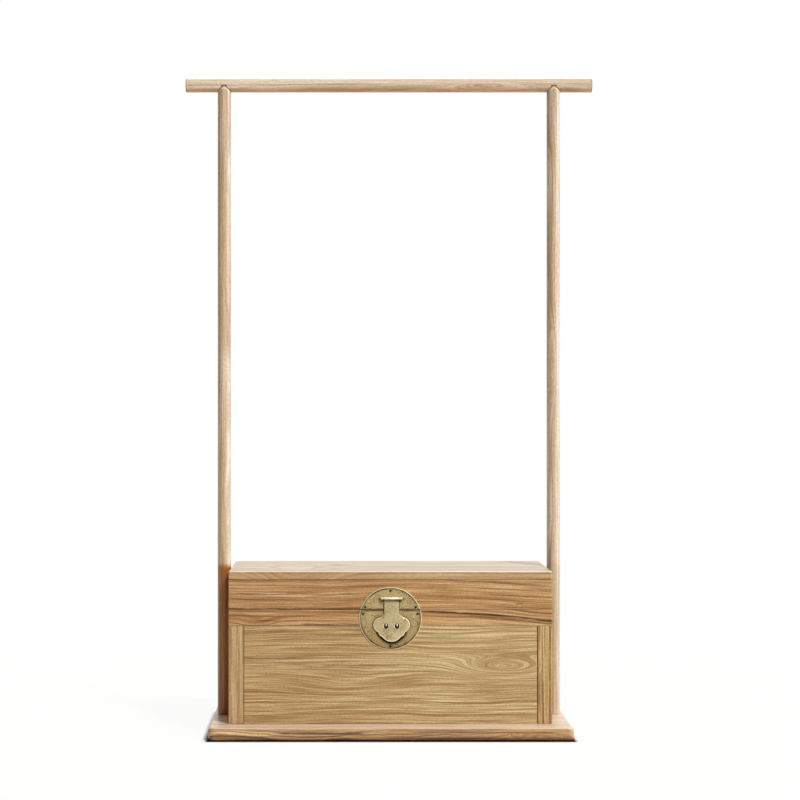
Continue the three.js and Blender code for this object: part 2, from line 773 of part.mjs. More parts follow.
// bodyGroup and lidGroup have their origins in the middle of the front of the seam.
function makeLock(bodyGroup, lidGroup) {
  const backY = plateBackY - frontY;
  add(lidGroup, "lock_plate_upper", upperPlateShape(), lockBrass(), 0, backY);
  add(bodyGroup, "lock_plate_lower", lowerPlateShape(), lockBrass(), 0, backY);

  const pinPlace = [haspShift, haspPinY - frontY, haspPinRise];
  const pin = rod("x", haspPinDiameter / 2, -barrelLength / 2, barrelLength / 2, [0, 0]);
  add(lidGroup, "hasp_pin", pin, lockBrass(), ...pinPlace);
  const haspGroup = groupAt(lidGroup, "hasp_turning", ...pinPlace);
  add(haspGroup, "hasp", haspShape(), lockBrass());

  const eyeZ = haspPinRise - eyeDrop;
  for (const { side, sign } of sides) {
    const x = haspShift + (sign * eyeSpacing) / 2;
    add(bodyGroup, `lock_eye_${side}`, eyeShape(), lockBrass(), x, backY, eyeZ);
  }
  const headSeat = plateFrontY - frontY - fitGap;
  const nails = [
    ...lidNailAngles.map((angle) => ({ angle, group: lidGroup })),
    ...bodyNailAngles.map((angle) => ({ angle, group: bodyGroup })),
  ];
  nails.forEach(({ angle, group }, index) => {
    const { x, z } = nailPlace(angle);
    add(group, `plate_nail_${index + 1}`, nailShape(), nailBrass(), x, headSeat, z);
  });
}

// ---- The whole ----

const stand = new THREE.Group();
stand.name = "kimono_stand";
makeBase(stand);
makeBar(stand);
for (const side of sides) {
  makePost(stand, side);
  makePostFastening(stand, side);
}
for (const corner of corners) makeChestScrew(stand, corner);

const chestBody = groupAt(stand, "chest_body", 0, 0, baseTop);
const hingeLine = groupAt(stand, "hinge_line", 0, hingeY, seamHeight);
const lid = groupAt(stand, "lid_turning", 0, hingeY, seamHeight);
makeBody(chestBody);
makeLid(lid);
for (const side of sides) makeHinge(hingeLine, lid, side);

const lockOnBody = groupAt(chestBody, "lock_on_body", 0, frontY, bodyHeight);
const lockOnLid = groupAt(lid, "lock_on_lid", 0, frontY - hingeY, 0);
makeLock(lockOnBody, lockOnLid);

export default stand;
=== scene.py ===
# %% [markdown]
# # A kimono stand with a chest, dressed for its picture
#
# The stand is plain joinery: a round bar on two round posts, a low chest between the posts and
# one thick plank underneath. What makes it look real is the wood, whose growth rings run on from
# the face of a board round its edge, and an old brass lock that has gone matt and olive.
# The construction comes in finished and stays where it is. This file gives every board its own
# piece of timber, makes the poles and the lock finer than the construction needs them, and sets
# the camera, the lamps and the floor.

# %% Load the construction
import json
import math

import bmesh
import bpy
from mathutils import Matrix, Vector


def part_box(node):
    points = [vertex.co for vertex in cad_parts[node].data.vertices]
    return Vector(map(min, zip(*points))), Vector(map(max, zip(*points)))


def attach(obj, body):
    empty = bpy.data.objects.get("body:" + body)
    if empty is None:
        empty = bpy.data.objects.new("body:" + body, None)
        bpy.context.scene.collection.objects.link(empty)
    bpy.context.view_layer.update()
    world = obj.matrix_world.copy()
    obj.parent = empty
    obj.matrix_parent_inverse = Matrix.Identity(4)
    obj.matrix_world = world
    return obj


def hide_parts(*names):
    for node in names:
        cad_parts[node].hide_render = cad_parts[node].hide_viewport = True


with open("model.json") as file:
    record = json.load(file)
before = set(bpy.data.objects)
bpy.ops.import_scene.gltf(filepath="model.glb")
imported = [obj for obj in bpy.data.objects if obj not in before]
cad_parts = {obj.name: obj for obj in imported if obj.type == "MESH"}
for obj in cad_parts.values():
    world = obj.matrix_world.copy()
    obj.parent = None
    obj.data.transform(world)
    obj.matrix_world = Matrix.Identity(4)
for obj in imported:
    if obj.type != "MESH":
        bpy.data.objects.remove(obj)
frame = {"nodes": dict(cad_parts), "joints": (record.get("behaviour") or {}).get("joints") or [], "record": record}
nodes = frame["nodes"]
joints = {joint["name"]: joint for joint in frame["joints"]}
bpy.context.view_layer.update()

# %% [markdown]
# ## The camera
#
# The picture is taken from the height of the stand's middle, with the lens level, so the posts
# stay upright. The stand is a little to the right of the camera, and the picture is shifted back
# over it, which is why a bit more of the lid's left end than of its right end shows.

# %% Camera
lens_height = 0.873
lens_distance = 4.94
lens_left = 0.127
focal_length = 81.95
sensor_width = 36.0
shift_right = 0.0725
shift_up = 0.0054

camera_data = bpy.data.cameras.new("camera")
camera_data.lens = focal_length
camera_data.sensor_width = sensor_width
camera_data.shift_x = shift_right
camera_data.shift_y = shift_up
camera = bpy.data.objects.new("camera", camera_data)
camera.location = (-lens_left, -lens_distance, lens_height)
camera.rotation_euler = (math.radians(90), 0, 0)
bpy.context.scene.collection.objects.link(camera)
bpy.context.scene.camera = camera
bpy.context.scene.view_settings.view_transform = "Standard"
print("camera", tuple(camera.location), "lens", focal_length, "mm")

# %% [markdown]
# ## Short calls for node trees
#
# Every finish here is a node tree. A tree is easier to read when one call makes a node, sets it
# and links what flows into it, so `Graph` wraps a tree and takes numbers and sockets alike. The
# last few methods are small sums that come back again and again.


# %% Helper for node trees
class Graph:
    """A node tree whose nodes are made, set and linked in one call."""

    def __init__(self, tree):
        self.tree = tree

    def put(self, socket, value):
        if isinstance(value, bpy.types.NodeSocket):
            self.tree.links.new(value, socket)
        else:
            socket.default_value = value

    def add(self, kind, *values, **settings):
        """A node of that kind; values go into its inputs in order, and None skips one."""
        node = self.tree.nodes.new(kind)
        for name, value in settings.items():
            setattr(node, name, value)
        for socket, value in zip(node.inputs, values):
            if value is not None:
                self.put(socket, value)
        return node

    def math(self, operation, *values):
        return self.add("ShaderNodeMath", *values, operation=operation).outputs[0]

    def vector(self, operation, *values):
        return self.add("ShaderNodeVectorMath", *values, operation=operation).outputs[0]

    def step(self, value, low, high):
        """0 below low, 1 above high and smooth between them."""
        node = self.tree.nodes.new("ShaderNodeMapRange")
        node.interpolation_type = "SMOOTHSTEP"
        for name, given_value in (("Value", value), ("From Min", low), ("From Max", high)):
            self.put(node.inputs[name], given_value)
        return node.outputs["Result"]

    def blend(self, share, one, other, how="MIX"):
        """Two colours mixed by a share."""
        node = self.tree.nodes.new("ShaderNodeMix")
        node.data_type = "RGBA"
        node.blend_type = how
        self.put(node.inputs["Factor"], share)
        for name, value in (("A", one), ("B", other)):
            socket = next(s for s in node.inputs if s.name == name and s.type == "RGBA")
            self.put(socket, value)
        return next(s for s in node.outputs if s.type == "RGBA")

    def noise(self, vector, scale, detail=2.0, roughness=0.5, seed=None):
        node = self.tree.nodes.new("ShaderNodeTexNoise")
        if seed is not None:
            node.noise_dimensions = "4D"
            self.put(node.inputs["W"], seed)
        self.put(node.inputs["Vector"], vector)
        self.put(node.inputs["Scale"], scale)
        self.put(node.inputs["Detail"], detail)
        self.put(node.inputs["Roughness"], roughness)
        return node.outputs["Fac"]

    def times(self, first, *others):
        """All the values multiplied."""
        for other in others:
            first = self.math("MULTIPLY", first, other)
        return first

    def flip(self, share):
        """What is left of 1."""
        return self.math("SUBTRACT", 1.0, share)

    def bell(self, off):
        """1 where off is 0, and falling away on both sides."""
        return self.math("EXPONENT", self.times(off, off, -1.0))

    def tint(self, share, colour, factor):
        """The colour multiplied by a factor, as far as share goes."""
        return self.blend(share, colour, (*factor, 1.0), "MULTIPLY")

    def length(self, vector):
        return self.add("ShaderNodeVectorMath", vector, operation="LENGTH").outputs["Value"]

    def dot(self, one, other):
        node = self.add("ShaderNodeVectorMath", one, other, operation="DOT_PRODUCT")
        return node.outputs["Value"]

    def parts(self, vector):
        """A vector's X, Y and Z."""
        return self.add("ShaderNodeSeparateXYZ", vector).outputs

    def turned(self, vector, middle, degrees):
        """The same place, told in a frame with another middle and turn."""
        turn = tuple(math.radians(angle) for angle in degrees)
        node = self.add("ShaderNodeMapping", vector, tuple(middle), turn, vector_type="TEXTURE")
        return node.outputs[0]


# %% [markdown]
# ## Groups, materials and colours
#
# An effect that several finishes share, such as growth rings, is built once as a group and placed
# with other values in each of them. Colours are written as they are picked from a screen, and
# `linear` turns them into the light that a renderer adds up.


# %% Helpers for groups and materials
def make_group(name, vectors, floats, floats_out=(), vectors_out=()):
    """An empty shader group with named sockets, and the graph to fill it."""
    tree = bpy.data.node_groups.new(name, "ShaderNodeTree")
    for in_out, kind, socket_names in (
        ("INPUT", "Vector", vectors), ("INPUT", "Float", floats),
        ("OUTPUT", "Float", floats_out), ("OUTPUT", "Vector", vectors_out),
    ):
        for socket_name in socket_names:
            tree.interface.new_socket(
                socket_name, in_out=in_out, socket_type=f"NodeSocket{kind}"
            )
    start = tree.nodes.new("NodeGroupInput")
    end = tree.nodes.new("NodeGroupOutput")
    return tree, Graph(tree), start.outputs, end.inputs


def use_group(graph, tree, **values):
    """Places a group in a tree; underscores in a name stand for its spaces."""
    node = graph.tree.nodes.new("ShaderNodeGroup")
    node.node_tree = tree
    for name, value in values.items():
        graph.put(node.inputs[name.replace("_", " ")], value)
    return node.outputs


def new_material(name):
    """An empty material, and the graph to fill it."""
    material = bpy.data.materials.new(name)
    material.use_nodes = True
    material.node_tree.nodes.clear()
    return material, Graph(material.node_tree)


def lay_surface(g, colour, rough, height, bump_depth, bump_strength, gloss):
    """A Principled surface with a bump, linked to the material's output."""
    bump = g.tree.nodes.new("ShaderNodeBump")
    bump.inputs["Strength"].default_value = bump_strength
    bump.inputs["Distance"].default_value = bump_depth
    g.put(bump.inputs["Height"], height)
    shader = g.tree.nodes.new("ShaderNodeBsdfPrincipled")
    g.put(shader.inputs["Base Color"], colour)
    g.put(shader.inputs["Roughness"], rough)
    g.put(shader.inputs["Normal"], bump.outputs["Normal"])
    shader.inputs["Specular IOR Level"].default_value = gloss
    g.add("ShaderNodeOutputMaterial", shader.outputs[0])
    return shader


def linear(red, green, blue):
    """A colour as it is picked from a screen, 0 to 255, as the linear colour that nodes take."""

    def channel(value):
        share = value / 255
        return share / 12.92 if share <= 0.04045 else ((share + 0.055) / 1.055) ** 2.4

    return (channel(red), channel(green), channel(blue), 1.0)


# %% [markdown]
# ## The floor
#
# The stand is shown on a pale floor that runs out into white. The floor is one disc, so it takes
# real shadows, and it lies just below the base so that the two faces don't meet in one plane.

# %% Floor
floor_radius = 6.0
floor_drop = 0.0005

floor_mesh = bmesh.new()
bmesh.ops.create_circle(floor_mesh, cap_ends=True, radius=floor_radius, segments=96)
floor_data = bpy.data.meshes.new("floor")
floor_mesh.to_mesh(floor_data)
floor_mesh.free()
floor = bpy.data.objects.new("floor", floor_data)
floor.location = (0, 0, -floor_drop)
bpy.context.scene.collection.objects.link(floor)
print("floor radius", floor_radius, "m")

# %% [markdown]
# To the camera the floor also glows a little, as an overexposed studio floor does, and it fades
# into the white world before its rim can be seen. Close round the base the glow stops and the
# floor's colour is painted darker: a painted shadow line in which the heavy plank stands.

# %% Floor finish
fade_from = 1.1
fade_to = 3.2
floor_glow = 0.93
glow_from = 0.006
glow_to = 0.022
painted_shadow_width = 0.012
painted_shadow_colour = linear(30, 22, 16)
floor_colour = linear(226, 225, 223)

floor_material, g = new_material("pale_floor")
place = g.add("ShaderNodeTexCoord").outputs["Object"]
seen = g.add("ShaderNodeLightPath").outputs["Is Camera Ray"]
base_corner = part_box("base_board")[1]
outside = g.vector("SUBTRACT", g.vector("ABSOLUTE", place), (base_corner.x, base_corner.y, 0))
outside = g.vector("MULTIPLY", g.vector("MAXIMUM", outside, (0, 0, 0)), (1, 1, 0))
from_base = g.length(outside)
# Painted shadow: the floor's colour turns dark close round the base.
painted_shade = g.blend(g.step(from_base, 0.0, painted_shadow_width), painted_shadow_colour, floor_colour)
matt = g.add("ShaderNodeBsdfDiffuse", painted_shade).outputs[0]
white = g.add("ShaderNodeEmission", (1, 1, 1, 1), 1.0).outputs[0]
glowing = g.times(seen, g.times(g.step(from_base, glow_from, glow_to), floor_glow))
surface = g.add("ShaderNodeMixShader", glowing, matt, white).outputs[0]
clear = g.add("ShaderNodeBsdfTransparent").outputs[0]
faded = g.times(g.step(g.length(place), fade_from, fade_to), seen)
shown = g.add("ShaderNodeMixShader", faded, surface, clear).outputs[0]
g.add("ShaderNodeOutputMaterial", shown)
floor_data.materials.append(floor_material)
print("floor finish, shadow line", painted_shadow_width, "m wide")

# %% [markdown]
# ## The white room
#
# Behind the stand the camera sees plain white. The light that the same room throws on the wood is
# another matter: bright and cool from the upper right, dim and a little warm from the left. Light
# Path keeps the two apart, so the background stays white without the room getting any brighter.

# %% World
bright_side = Vector((0.80, -0.25, 0.55)).normalized()
bright_level = 0.95
bright_falloff = 1.5
side_level = 0.20
side_slope = 0.14
backdrop_level = 0.95
backdrop_from = 0.05
backdrop_to = 0.55
warm_bounce = (1.0, 0.93, 0.83, 1)
cool_daylight = (0.96, 0.985, 1.0, 1)

world = bpy.data.worlds.new("white_room")
world.use_nodes = True
bpy.context.scene.world = world
world.node_tree.nodes.clear()
g = Graph(world.node_tree)
direction = g.add("ShaderNodeTexCoord").outputs["Generated"]
facing = g.dot(direction, tuple(bright_side))
towards = g.math("POWER", g.math("MAXIMUM", facing, 0.0), bright_falloff)
sides = g.parts(direction)
level = g.math("MULTIPLY_ADD", sides["X"], side_slope, side_level)
level = g.math("MULTIPLY_ADD", towards, bright_level, level)
backdrop = g.times(g.step(sides["Y"], backdrop_from, backdrop_to), backdrop_level)
level = g.math("MAXIMUM", level, backdrop)
room_colour = g.blend(towards, warm_bounce, cool_daylight)
room_light = g.add("ShaderNodeBackground", room_colour, level).outputs[0]
white_wall = g.add("ShaderNodeBackground", (1, 1, 1, 1), 1.0).outputs[0]
seen = g.add("ShaderNodeLightPath").outputs["Is Camera Ray"]
both = g.add("ShaderNodeMixShader", seen, room_light, white_wall).outputs[0]
g.add("ShaderNodeOutputWorld", both)
print("white room, brightest towards", [round(v, 2) for v in bright_side])

# %% [markdown]
# ## Lamps
#
# The bright side of each round post is its right side and the left post is dark beside the
# chest, so the light comes from the right and from the front, and hardly any from the left.
# Two wide suns do that evenly over the whole height, as large soft boxes would far away.


# %% Lamps
def add_sun(name, towards, strength, angle, colour):
    """A sun whose light comes from the direction `towards`."""
    data = bpy.data.lights.new(name, "SUN")
    data.energy = strength
    data.angle = math.radians(angle)
    data.color = colour
    lamp = bpy.data.objects.new(name, data)
    lamp.rotation_euler = Vector(towards).to_track_quat("Z", "Y").to_euler()
    bpy.context.scene.collection.objects.link(lamp)


add_sun("high_soft_box", (0.42, -0.55, 0.72), 2.5, 9, (1, 0.985, 0.965))
add_sun("right_soft_box", (0.93, -0.30, 0.20), 1.0, 28, (0.93, 0.97, 1.0))
print("lamps: 2")

# %% [markdown]
# ## Timber, part one: growth rings
#
# Grain isn't drawn on a board, it is cut out of a tree. So the pattern is built in three
# dimensions: rings round a pith that lies beside, behind or far under the board. A pith far away
# gives straight tight lines, a pith just behind the face gives the tall arches of a flat-sawn
# board, and the end grain comes out right by itself. Noise that is stretched along the trunk
# makes the rings wander, and a second noise makes lean and fat years. The late wood of each ring
# darkens slowly and stops sharply. The group also tells each place in the tree's own terms, along
# the trunk and outwards across its rings, so that the fibres can follow the rings later.

# %% Growth rings
slow_pitch = (2.2, 5.5, 5.5)
quick_pitch = (11, 34, 34)
ripple_share = 0.14
lean_year_pitch = 0.31
lean_year_swing = 2.6
darkens_from, darkens_to, darkens_late = 0.25, 0.95, 3.5
ring_ends_at = 0.96
depth_share = 0.15

growth_rings, g, given, result = make_group(
    "growth_rings", ["Vector"], ["Ring Width", "Wander", "Lift", "Seed"],
    ["Late Wood", "Ring Tone"], ["Flow"],
)
# The trunk runs along X, so only Y and Z count in the distance from the pith.
from_pith = g.length(g.vector("MULTIPLY", given["Vector"], (0, 1, 1)))
slow = g.noise(g.vector("MULTIPLY", given["Vector"], slow_pitch), 1.0, 1.0, 0.4, given["Seed"])
quick = g.noise(g.vector("MULTIPLY", given["Vector"], quick_pitch), 1.0, 1.0, 0.5, given["Seed"])
bend = g.times(g.math("SUBTRACT", slow, 0.5), given["Wander"])
ripple = g.times(g.math("SUBTRACT", quick, 0.5), given["Wander"])
bent = g.math("ADD", from_pith, g.math("MULTIPLY_ADD", ripple, ripple_share, bend))
years = g.math("ADD", g.math("DIVIDE", bent, given["Ring Width"]), given["Lift"])
uneven = g.add("ShaderNodeTexNoise", noise_dimensions="1D")
g.put(uneven.inputs["W"], g.times(years, lean_year_pitch))
uneven.inputs["Scale"].default_value = 1.0
years = g.math("ADD", years, g.times(uneven.outputs["Fac"], lean_year_swing))
season = g.math("FRACT", years)
darkening = g.math("POWER", g.step(season, darkens_from, darkens_to), darkens_late)
g.put(result["Late Wood"], g.times(darkening, g.flip(g.step(season, ring_ends_at, 1.0))))
ring_tone = g.add("ShaderNodeTexWhiteNoise", noise_dimensions="1D")
g.put(ring_tone.inputs["W"], g.math("FLOOR", years))
g.put(result["Ring Tone"], ring_tone.outputs["Value"])
trunk = g.parts(given["Vector"])
outwards = g.math("MULTIPLY_ADD", given["Lift"], given["Ring Width"], bent)
depth = g.times(trunk["Y"], depth_share)
g.put(result["Flow"], g.add("ShaderNodeCombineXYZ", trunk["X"], depth, outwards).outputs[0])

# %% [markdown]
# ## Timber, part two: what disturbs the grain
#
# Near a branch or a dip in the trunk the rings close into long ellipses, and where the trunk
# leaned they run downhill on the board. The first is a smooth hump that is added to the ring
# count, the second shifts the place before the rings are counted.

# %% Swirl and slope
grain_swirl, g, given, result = make_group(
    "grain_swirl", ["Vector", "Centre", "Reach"], ["Rings"], ["Lift", "Core"]
)
apart = g.vector("SUBTRACT", given["Vector"], given["Centre"])
distance = g.length(g.vector("DIVIDE", apart, given["Reach"]))
g.put(result["Lift"], g.times(g.bell(distance), given["Rings"]))
g.put(result["Core"], g.flip(g.step(distance, 0.1, 0.35)))

grain_slope, g, given, result = make_group(
    "grain_slope", ["Vector"], ["From", "To", "Drop"], [], ["Vector"]
)
along = g.parts(given["Vector"])["X"]
fallen = g.times(g.step(along, given["From"], given["To"]), given["Drop"])
shift = g.add("ShaderNodeCombineXYZ", 0.0, 0.0, fallen).outputs[0]
g.put(result["Vector"], g.vector("ADD", given["Vector"], shift))

# %% [markdown]
# ## Timber, part three: dark lines
#
# Now and then a whole layer is stained by resin: one long dark line that wobbles a little, breaks
# up in places and thins out towards its ends. The same mask draws the painted shadow in a tight
# joint between two boards and along the bottom of the base, the painted shade under the lid's
# bright front edge, and the painted shadows and highlights along the straight edges of the brass.

# %% Dark line
wobble_pitch = (9, 14, 14)
broken_pitch = (26, 160, 160)
thinning_share = 0.12

dark_line, g, given, result = make_group(
    "dark_line", ["Vector"], ["Height", "Width", "From", "To", "Wobble", "Seed"], ["Mask"]
)
start, stop, seed = given["From"], given["To"], given["Seed"]
parts = g.parts(given["Vector"])
wave = g.noise(g.vector("MULTIPLY", given["Vector"], wobble_pitch), 1.0, 2.0, 0.5, seed)
off = g.math("SUBTRACT", parts["Z"], given["Height"])
off = g.math("MULTIPLY_ADD", g.math("SUBTRACT", wave, 0.5), given["Wobble"], off)
profile = g.bell(g.math("DIVIDE", off, given["Width"]))
thinning = g.times(g.math("SUBTRACT", stop, start), thinning_share)
begun = g.step(parts["X"], start, g.math("ADD", start, thinning))
ended = g.step(parts["X"], g.math("SUBTRACT", stop, thinning), stop)
broken = g.noise(g.vector("MULTIPLY", given["Vector"], broken_pitch), 1.0, 2.0, 0.6, seed)
profile = g.times(profile, g.step(broken, 0.18, 0.55))
g.put(result["Mask"], g.times(profile, g.times(begun, g.flip(ended))))

# %% [markdown]
# ## Timber, part four: the seam round a post
#
# Each post's top is hollowed to sit on the round bar. From the front such a joint shows as an
# arch. On both pieces that arch lies on a circle, so the seam's painted shadow and the painted
# highlight on the rounded edge beside it are rings. On the bar only the part under the arch's top
# may show.

# %% Seam of a scribed joint
seam_fade = 0.002

ring_seam, g, given, result = make_group(
    "ring_seam", ["Vector", "Centre"], ["Radius", "Width", "Below"], ["Mask"]
)
apart = g.vector("MULTIPLY", g.vector("SUBTRACT", given["Vector"], given["Centre"]), (1, 1, 0))
off = g.math("SUBTRACT", g.length(apart), given["Radius"])
ring = g.bell(g.math("DIVIDE", off, given["Width"]))
height = g.parts(given["Vector"])["Z"]
above = g.step(height, given["Below"], g.math("ADD", given["Below"], seam_fade))
g.put(result["Mask"], g.times(ring, g.flip(above)))

# %% [markdown]
# ## Timber, part five: fibres and streaks
#
# Up close softwood is a bundle of fibres, so very fine lines run along the grain. They tint the
# wood and give it its slight tooth. Wider streaks, where resin or heartwood coloured a whole
# layer, and large soft clouds are the same noise at a lower pitch. All of them follow the rings,
# apart from the pores, which are too small for it to matter.

# %% Fibres
wood_fibres, g, given, result = make_group(
    "wood_fibres", ["Vector", "Flow"], ["Seed"],
    ["Fibre", "Thread", "Pores", "Streak", "Cloud"],
)
# What it is, how often it changes per metre, the noise's detail and roughness, and the step.
for name, pitch, detail, roughness, low, high in (
    ("Fibre", (2.4, 140, 140), 2.0, 0.6, 0.34, 0.66),
    ("Thread", (5.5, 330, 330), 2.0, 0.7, 0.34, 0.64),
    ("Pores", (170, 420, 420), 1.0, 0.5, 0.40, 0.66),
    ("Streak", (1.1, 105, 105), 3.0, 0.6, 0.50, 0.72),
    ("Cloud", (1.8, 15, 15), 3.0, 0.5, 0.30, 0.70),
):
    source = given["Vector" if name == "Pores" else "Flow"]
    stretched = g.vector("MULTIPLY", source, pitch)
    lines = g.noise(stretched, 1.0, detail, roughness, given["Seed"])
    g.put(result[name], g.step(lines, low, high))

# %% [markdown]
# ## Rubbed edges and painted edge highlights
#
# Hands and cloths round a board's edges off first, and the finish is thinnest there. The mask
# measures how near a place is to two of a board's faces at once, from the board's own size, and
# noise breaks it up so that no edge is rubbed evenly. On the lid's top and the base the same mask
# also carries a painted highlight along their top edges.

# %% Rubbed edges and painted edge highlights
edges_for_wear_and_highlight, g, given, result = make_group(
    "edges_for_wear_and_highlight", ["Vector", "Middle", "Half Size"], ["Width", "Patchy"], ["Mask"]
)
offset = g.vector("ABSOLUTE", g.vector("SUBTRACT", given["Vector"], given["Middle"]))
inset = g.parts(g.vector("SUBTRACT", given["Half Size"], offset))
near = [g.flip(g.step(inset[axis], 0.0, given["Width"])) for axis in ("X", "Y", "Z")]
pairs = [g.times(near[a], near[b]) for a, b in ((0, 1), (1, 2), (0, 2))]
edge = g.math("MAXIMUM", g.math("MAXIMUM", pairs[0], pairs[1]), pairs[2])
spared = g.flip(g.step(g.noise(given["Vector"], 38.0, 2.0), 0.32, 0.62))
g.put(result["Mask"], g.times(edge, g.flip(g.times(spared, given["Patchy"]))))
print("wood groups", [tree.name for tree in bpy.data.node_groups])

# %% [markdown]
# ## One function for every board's finish
#
# All the wood is one species under one satin finish, but no two boards are the same stick. The
# function takes where the pith was, how wide the rings grew and how much they wander, and the
# colours of early wood, late wood and streaks. All places are given from the board's middle, with
# X along its grain: `lean` turns that frame, upright for stiles and posts. First come the masks
# of the grain: a slope, swirls and dark lines put a feature where a board has one.

# %% Masks of the grain
knot_rings = 6
usual_wobble = 0.011


def strongest(g, one, other):
    """The stronger of two masks, where the first may be missing."""
    return other if one is None else g.math("MAXIMUM", one, other)


def wood_grain(g, timber, board):
    """The board's rings and fibres, its dark lines, and the cores of its knots."""
    seed = timber["seed"]
    sloped, lift, core, dark = board, 0.0, None, None
    if "slope" in timber:
        start, stop, drop = timber["slope"]
        sloped = use_group(g, grain_slope, Vector=board, From=start, To=stop, Drop=drop)["Vector"]
    for centre, reach, rings in timber.get("swirls", []):
        swirl = use_group(g, grain_swirl, Vector=board, Centre=centre, Reach=reach, Rings=rings)
        lift = g.math("ADD", lift, swirl["Lift"])
        if abs(rings) > knot_rings:
            core = strongest(g, core, swirl["Core"])
    for height, width, start, stop, strength, *wobble in timber.get("lines", []):
        mask = use_group(
            g, dark_line, Vector=sloped, Height=height, Width=width, From=start, To=stop,
            Wobble=wobble[0] if wobble else usual_wobble, Seed=seed,
        )["Mask"]
        dark = strongest(g, dark, g.times(mask, strength))
    trunk = g.vector("SUBTRACT", sloped, timber["pith"])
    rings = use_group(
        g, growth_rings, Vector=trunk, Ring_Width=timber["ring"], Wander=timber["wander"],
        Lift=lift, Seed=seed,
    )
    fibres = use_group(g, wood_fibres, Vector=trunk, Flow=rings["Flow"], Seed=seed)
    return rings, fibres, dark, core


# %% [markdown]
# The masks are laid over each other as they come about in the wood: soft clouds between two tones
# of early wood, then streaks, the dark late wood of each ring, knots, and the dark lines, which are
# resin stains and painted shadows in joints and under edges, and at last the fibres, which only
# tint what lies under them.


# %% Colour of the grain
def wood_colour(g, timber, rings, fibres, dark, core):
    """The board's colour out of its masks, and the mask of its late wood."""
    colour = g.blend(fibres["Cloud"], timber["early"], timber["warm"])
    colour = g.blend(g.times(fibres["Streak"], timber["streaks"]), colour, timber["streak"])
    tone = g.math("MULTIPLY_ADD", g.math("POWER", rings["Ring Tone"], 1.5), 0.85, 0.15)
    line = g.times(rings["Late Wood"], tone, timber["contrast"])
    colour = g.blend(line, colour, timber["late"])
    if core is not None:
        colour = g.blend(g.times(core, 0.8), colour, timber["knot_and_painted_shade"])
    # Dark lines: resin stains, and painted shadow in joints and under edges.
    if dark is not None:
        colour = g.blend(dark, colour, timber["knot_and_painted_shade"])
    for mask in ("Fibre", "Thread", "Pores"):
        colour = g.tint(fibres[mask], colour, timber[mask])
    return colour, line


# %% [markdown]
# Then come wear and painted light on the finished board. Its edges are rubbed pale, and on some
# boards a painted highlight lies along the top edges. A painted sheen can pale the top, broken up
# where the hollows between the fibres keep more of their colour. A seam round a joint is a painted
# shadow with a painted highlight, and tints are slow changes of tone, most of them painted light
# and shade, such as a side that is darker away from the light. A tint runs along one axis of the
# board, and further axes can limit it.

# %% Wear and painted light of a board
highlight_fade = 0.002


def ramp(g, place, axis, start, stop):
    """0 at start and 1 at stop along an axis of the board, whichever of the two is higher."""
    share = g.step(place[axis], min(start, stop), max(start, stop))
    return share if start < stop else g.flip(share)


def wood_wear(g, timber, board, edges, fibres, colour):
    """The colour after years of use, with its painted sheen, highlights, seam shadows and tints."""
    place = g.parts(board)
    rubbed_and_painted_light = g.times(edges, timber["rub"])
    # Painted highlight: on some boards only the top edges are rubbed, standing for light on the rounded edge.
    if "highlight_above" in timber:
        height = timber["highlight_above"]
        rubbed_and_painted_light = g.times(rubbed_and_painted_light, g.step(place["Z"], height - highlight_fade, height + highlight_fade))
    colour = g.blend(rubbed_and_painted_light, colour, timber["rubbed_and_painted_light"])
    # Painted sheen: the top face turns pale, less where the fibres are dark.
    if "painted_sheen" in timber:
        start, stop, strength = timber["painted_sheen"]
        raised = g.math("MULTIPLY_ADD", fibres["Fibre"], -0.8, 1.25)
        painted_sheen = g.times(g.step(place["Z"], start, stop), strength, raised)
        colour = g.blend(painted_sheen, colour, timber["rubbed_and_painted_light"])
    # Seams: a painted shadow and a painted highlight round a joint.
    for paint, strength, centre, radius, width, below in timber.get("seams", []):
        seam = use_group(
            g, ring_seam, Vector=board, Centre=centre, Radius=radius, Width=width, Below=below
        )["Mask"]
        colour = g.blend(g.times(seam, strength), colour, timber[paint])
    # Tints: slow changes of tone, most of them painted light and shade.
    for axis, start, stop, factor, *limits in timber.get("tints", []):
        share = ramp(g, place, axis, start, stop)
        for limit in limits:
            share = g.times(share, ramp(g, place, *limit))
        colour = g.tint(share, colour, factor)
    return colour


# %% [markdown]
# The surface itself is a satin varnish, which is the shader's own coat over wood that has hardly
# any gloss. Fibres, pores and the hard late wood stand in it as a very low relief.

# %% The wood finish
wood_gloss = 0.12
coat_roughness = 0.34
grain_relief = 0.0002


def wood_finish(name, low, high, timber):
    """A material for one board between two corners, from a description of its timber."""
    material, g = new_material(name)
    middle = (low + high) / 2
    at = g.add("ShaderNodeTexCoord").outputs["Object"]
    board = g.turned(at, middle, timber["lean"])
    rings, fibres, dark, core = wood_grain(g, timber, board)
    colour, line = wood_colour(g, timber, rings, fibres, dark, core)
    edges = use_group(
        g, edges_for_wear_and_highlight, Vector=at, Middle=tuple(middle), Half_Size=tuple((high - low) / 2),
        Width=timber["rub_width"], Patchy=timber["patchy"],
    )["Mask"]
    colour = wood_wear(g, timber, board, edges, fibres, colour)
    rough = g.math("MULTIPLY_ADD", fibres["Fibre"], 0.14, 0.42)
    rough = g.math("MULTIPLY_ADD", edges, 0.10, rough)
    height = g.math("MULTIPLY_ADD", line, -0.6, g.times(fibres["Pores"], -0.4))
    height = g.math("MULTIPLY_ADD", fibres["Fibre"], -0.4, height)
    shader = lay_surface(g, colour, rough, height, grain_relief, 0.4, wood_gloss)
    shader.inputs["Coat Weight"].default_value = timber["coat"]
    shader.inputs["Coat Roughness"].default_value = coat_roughness
    return material


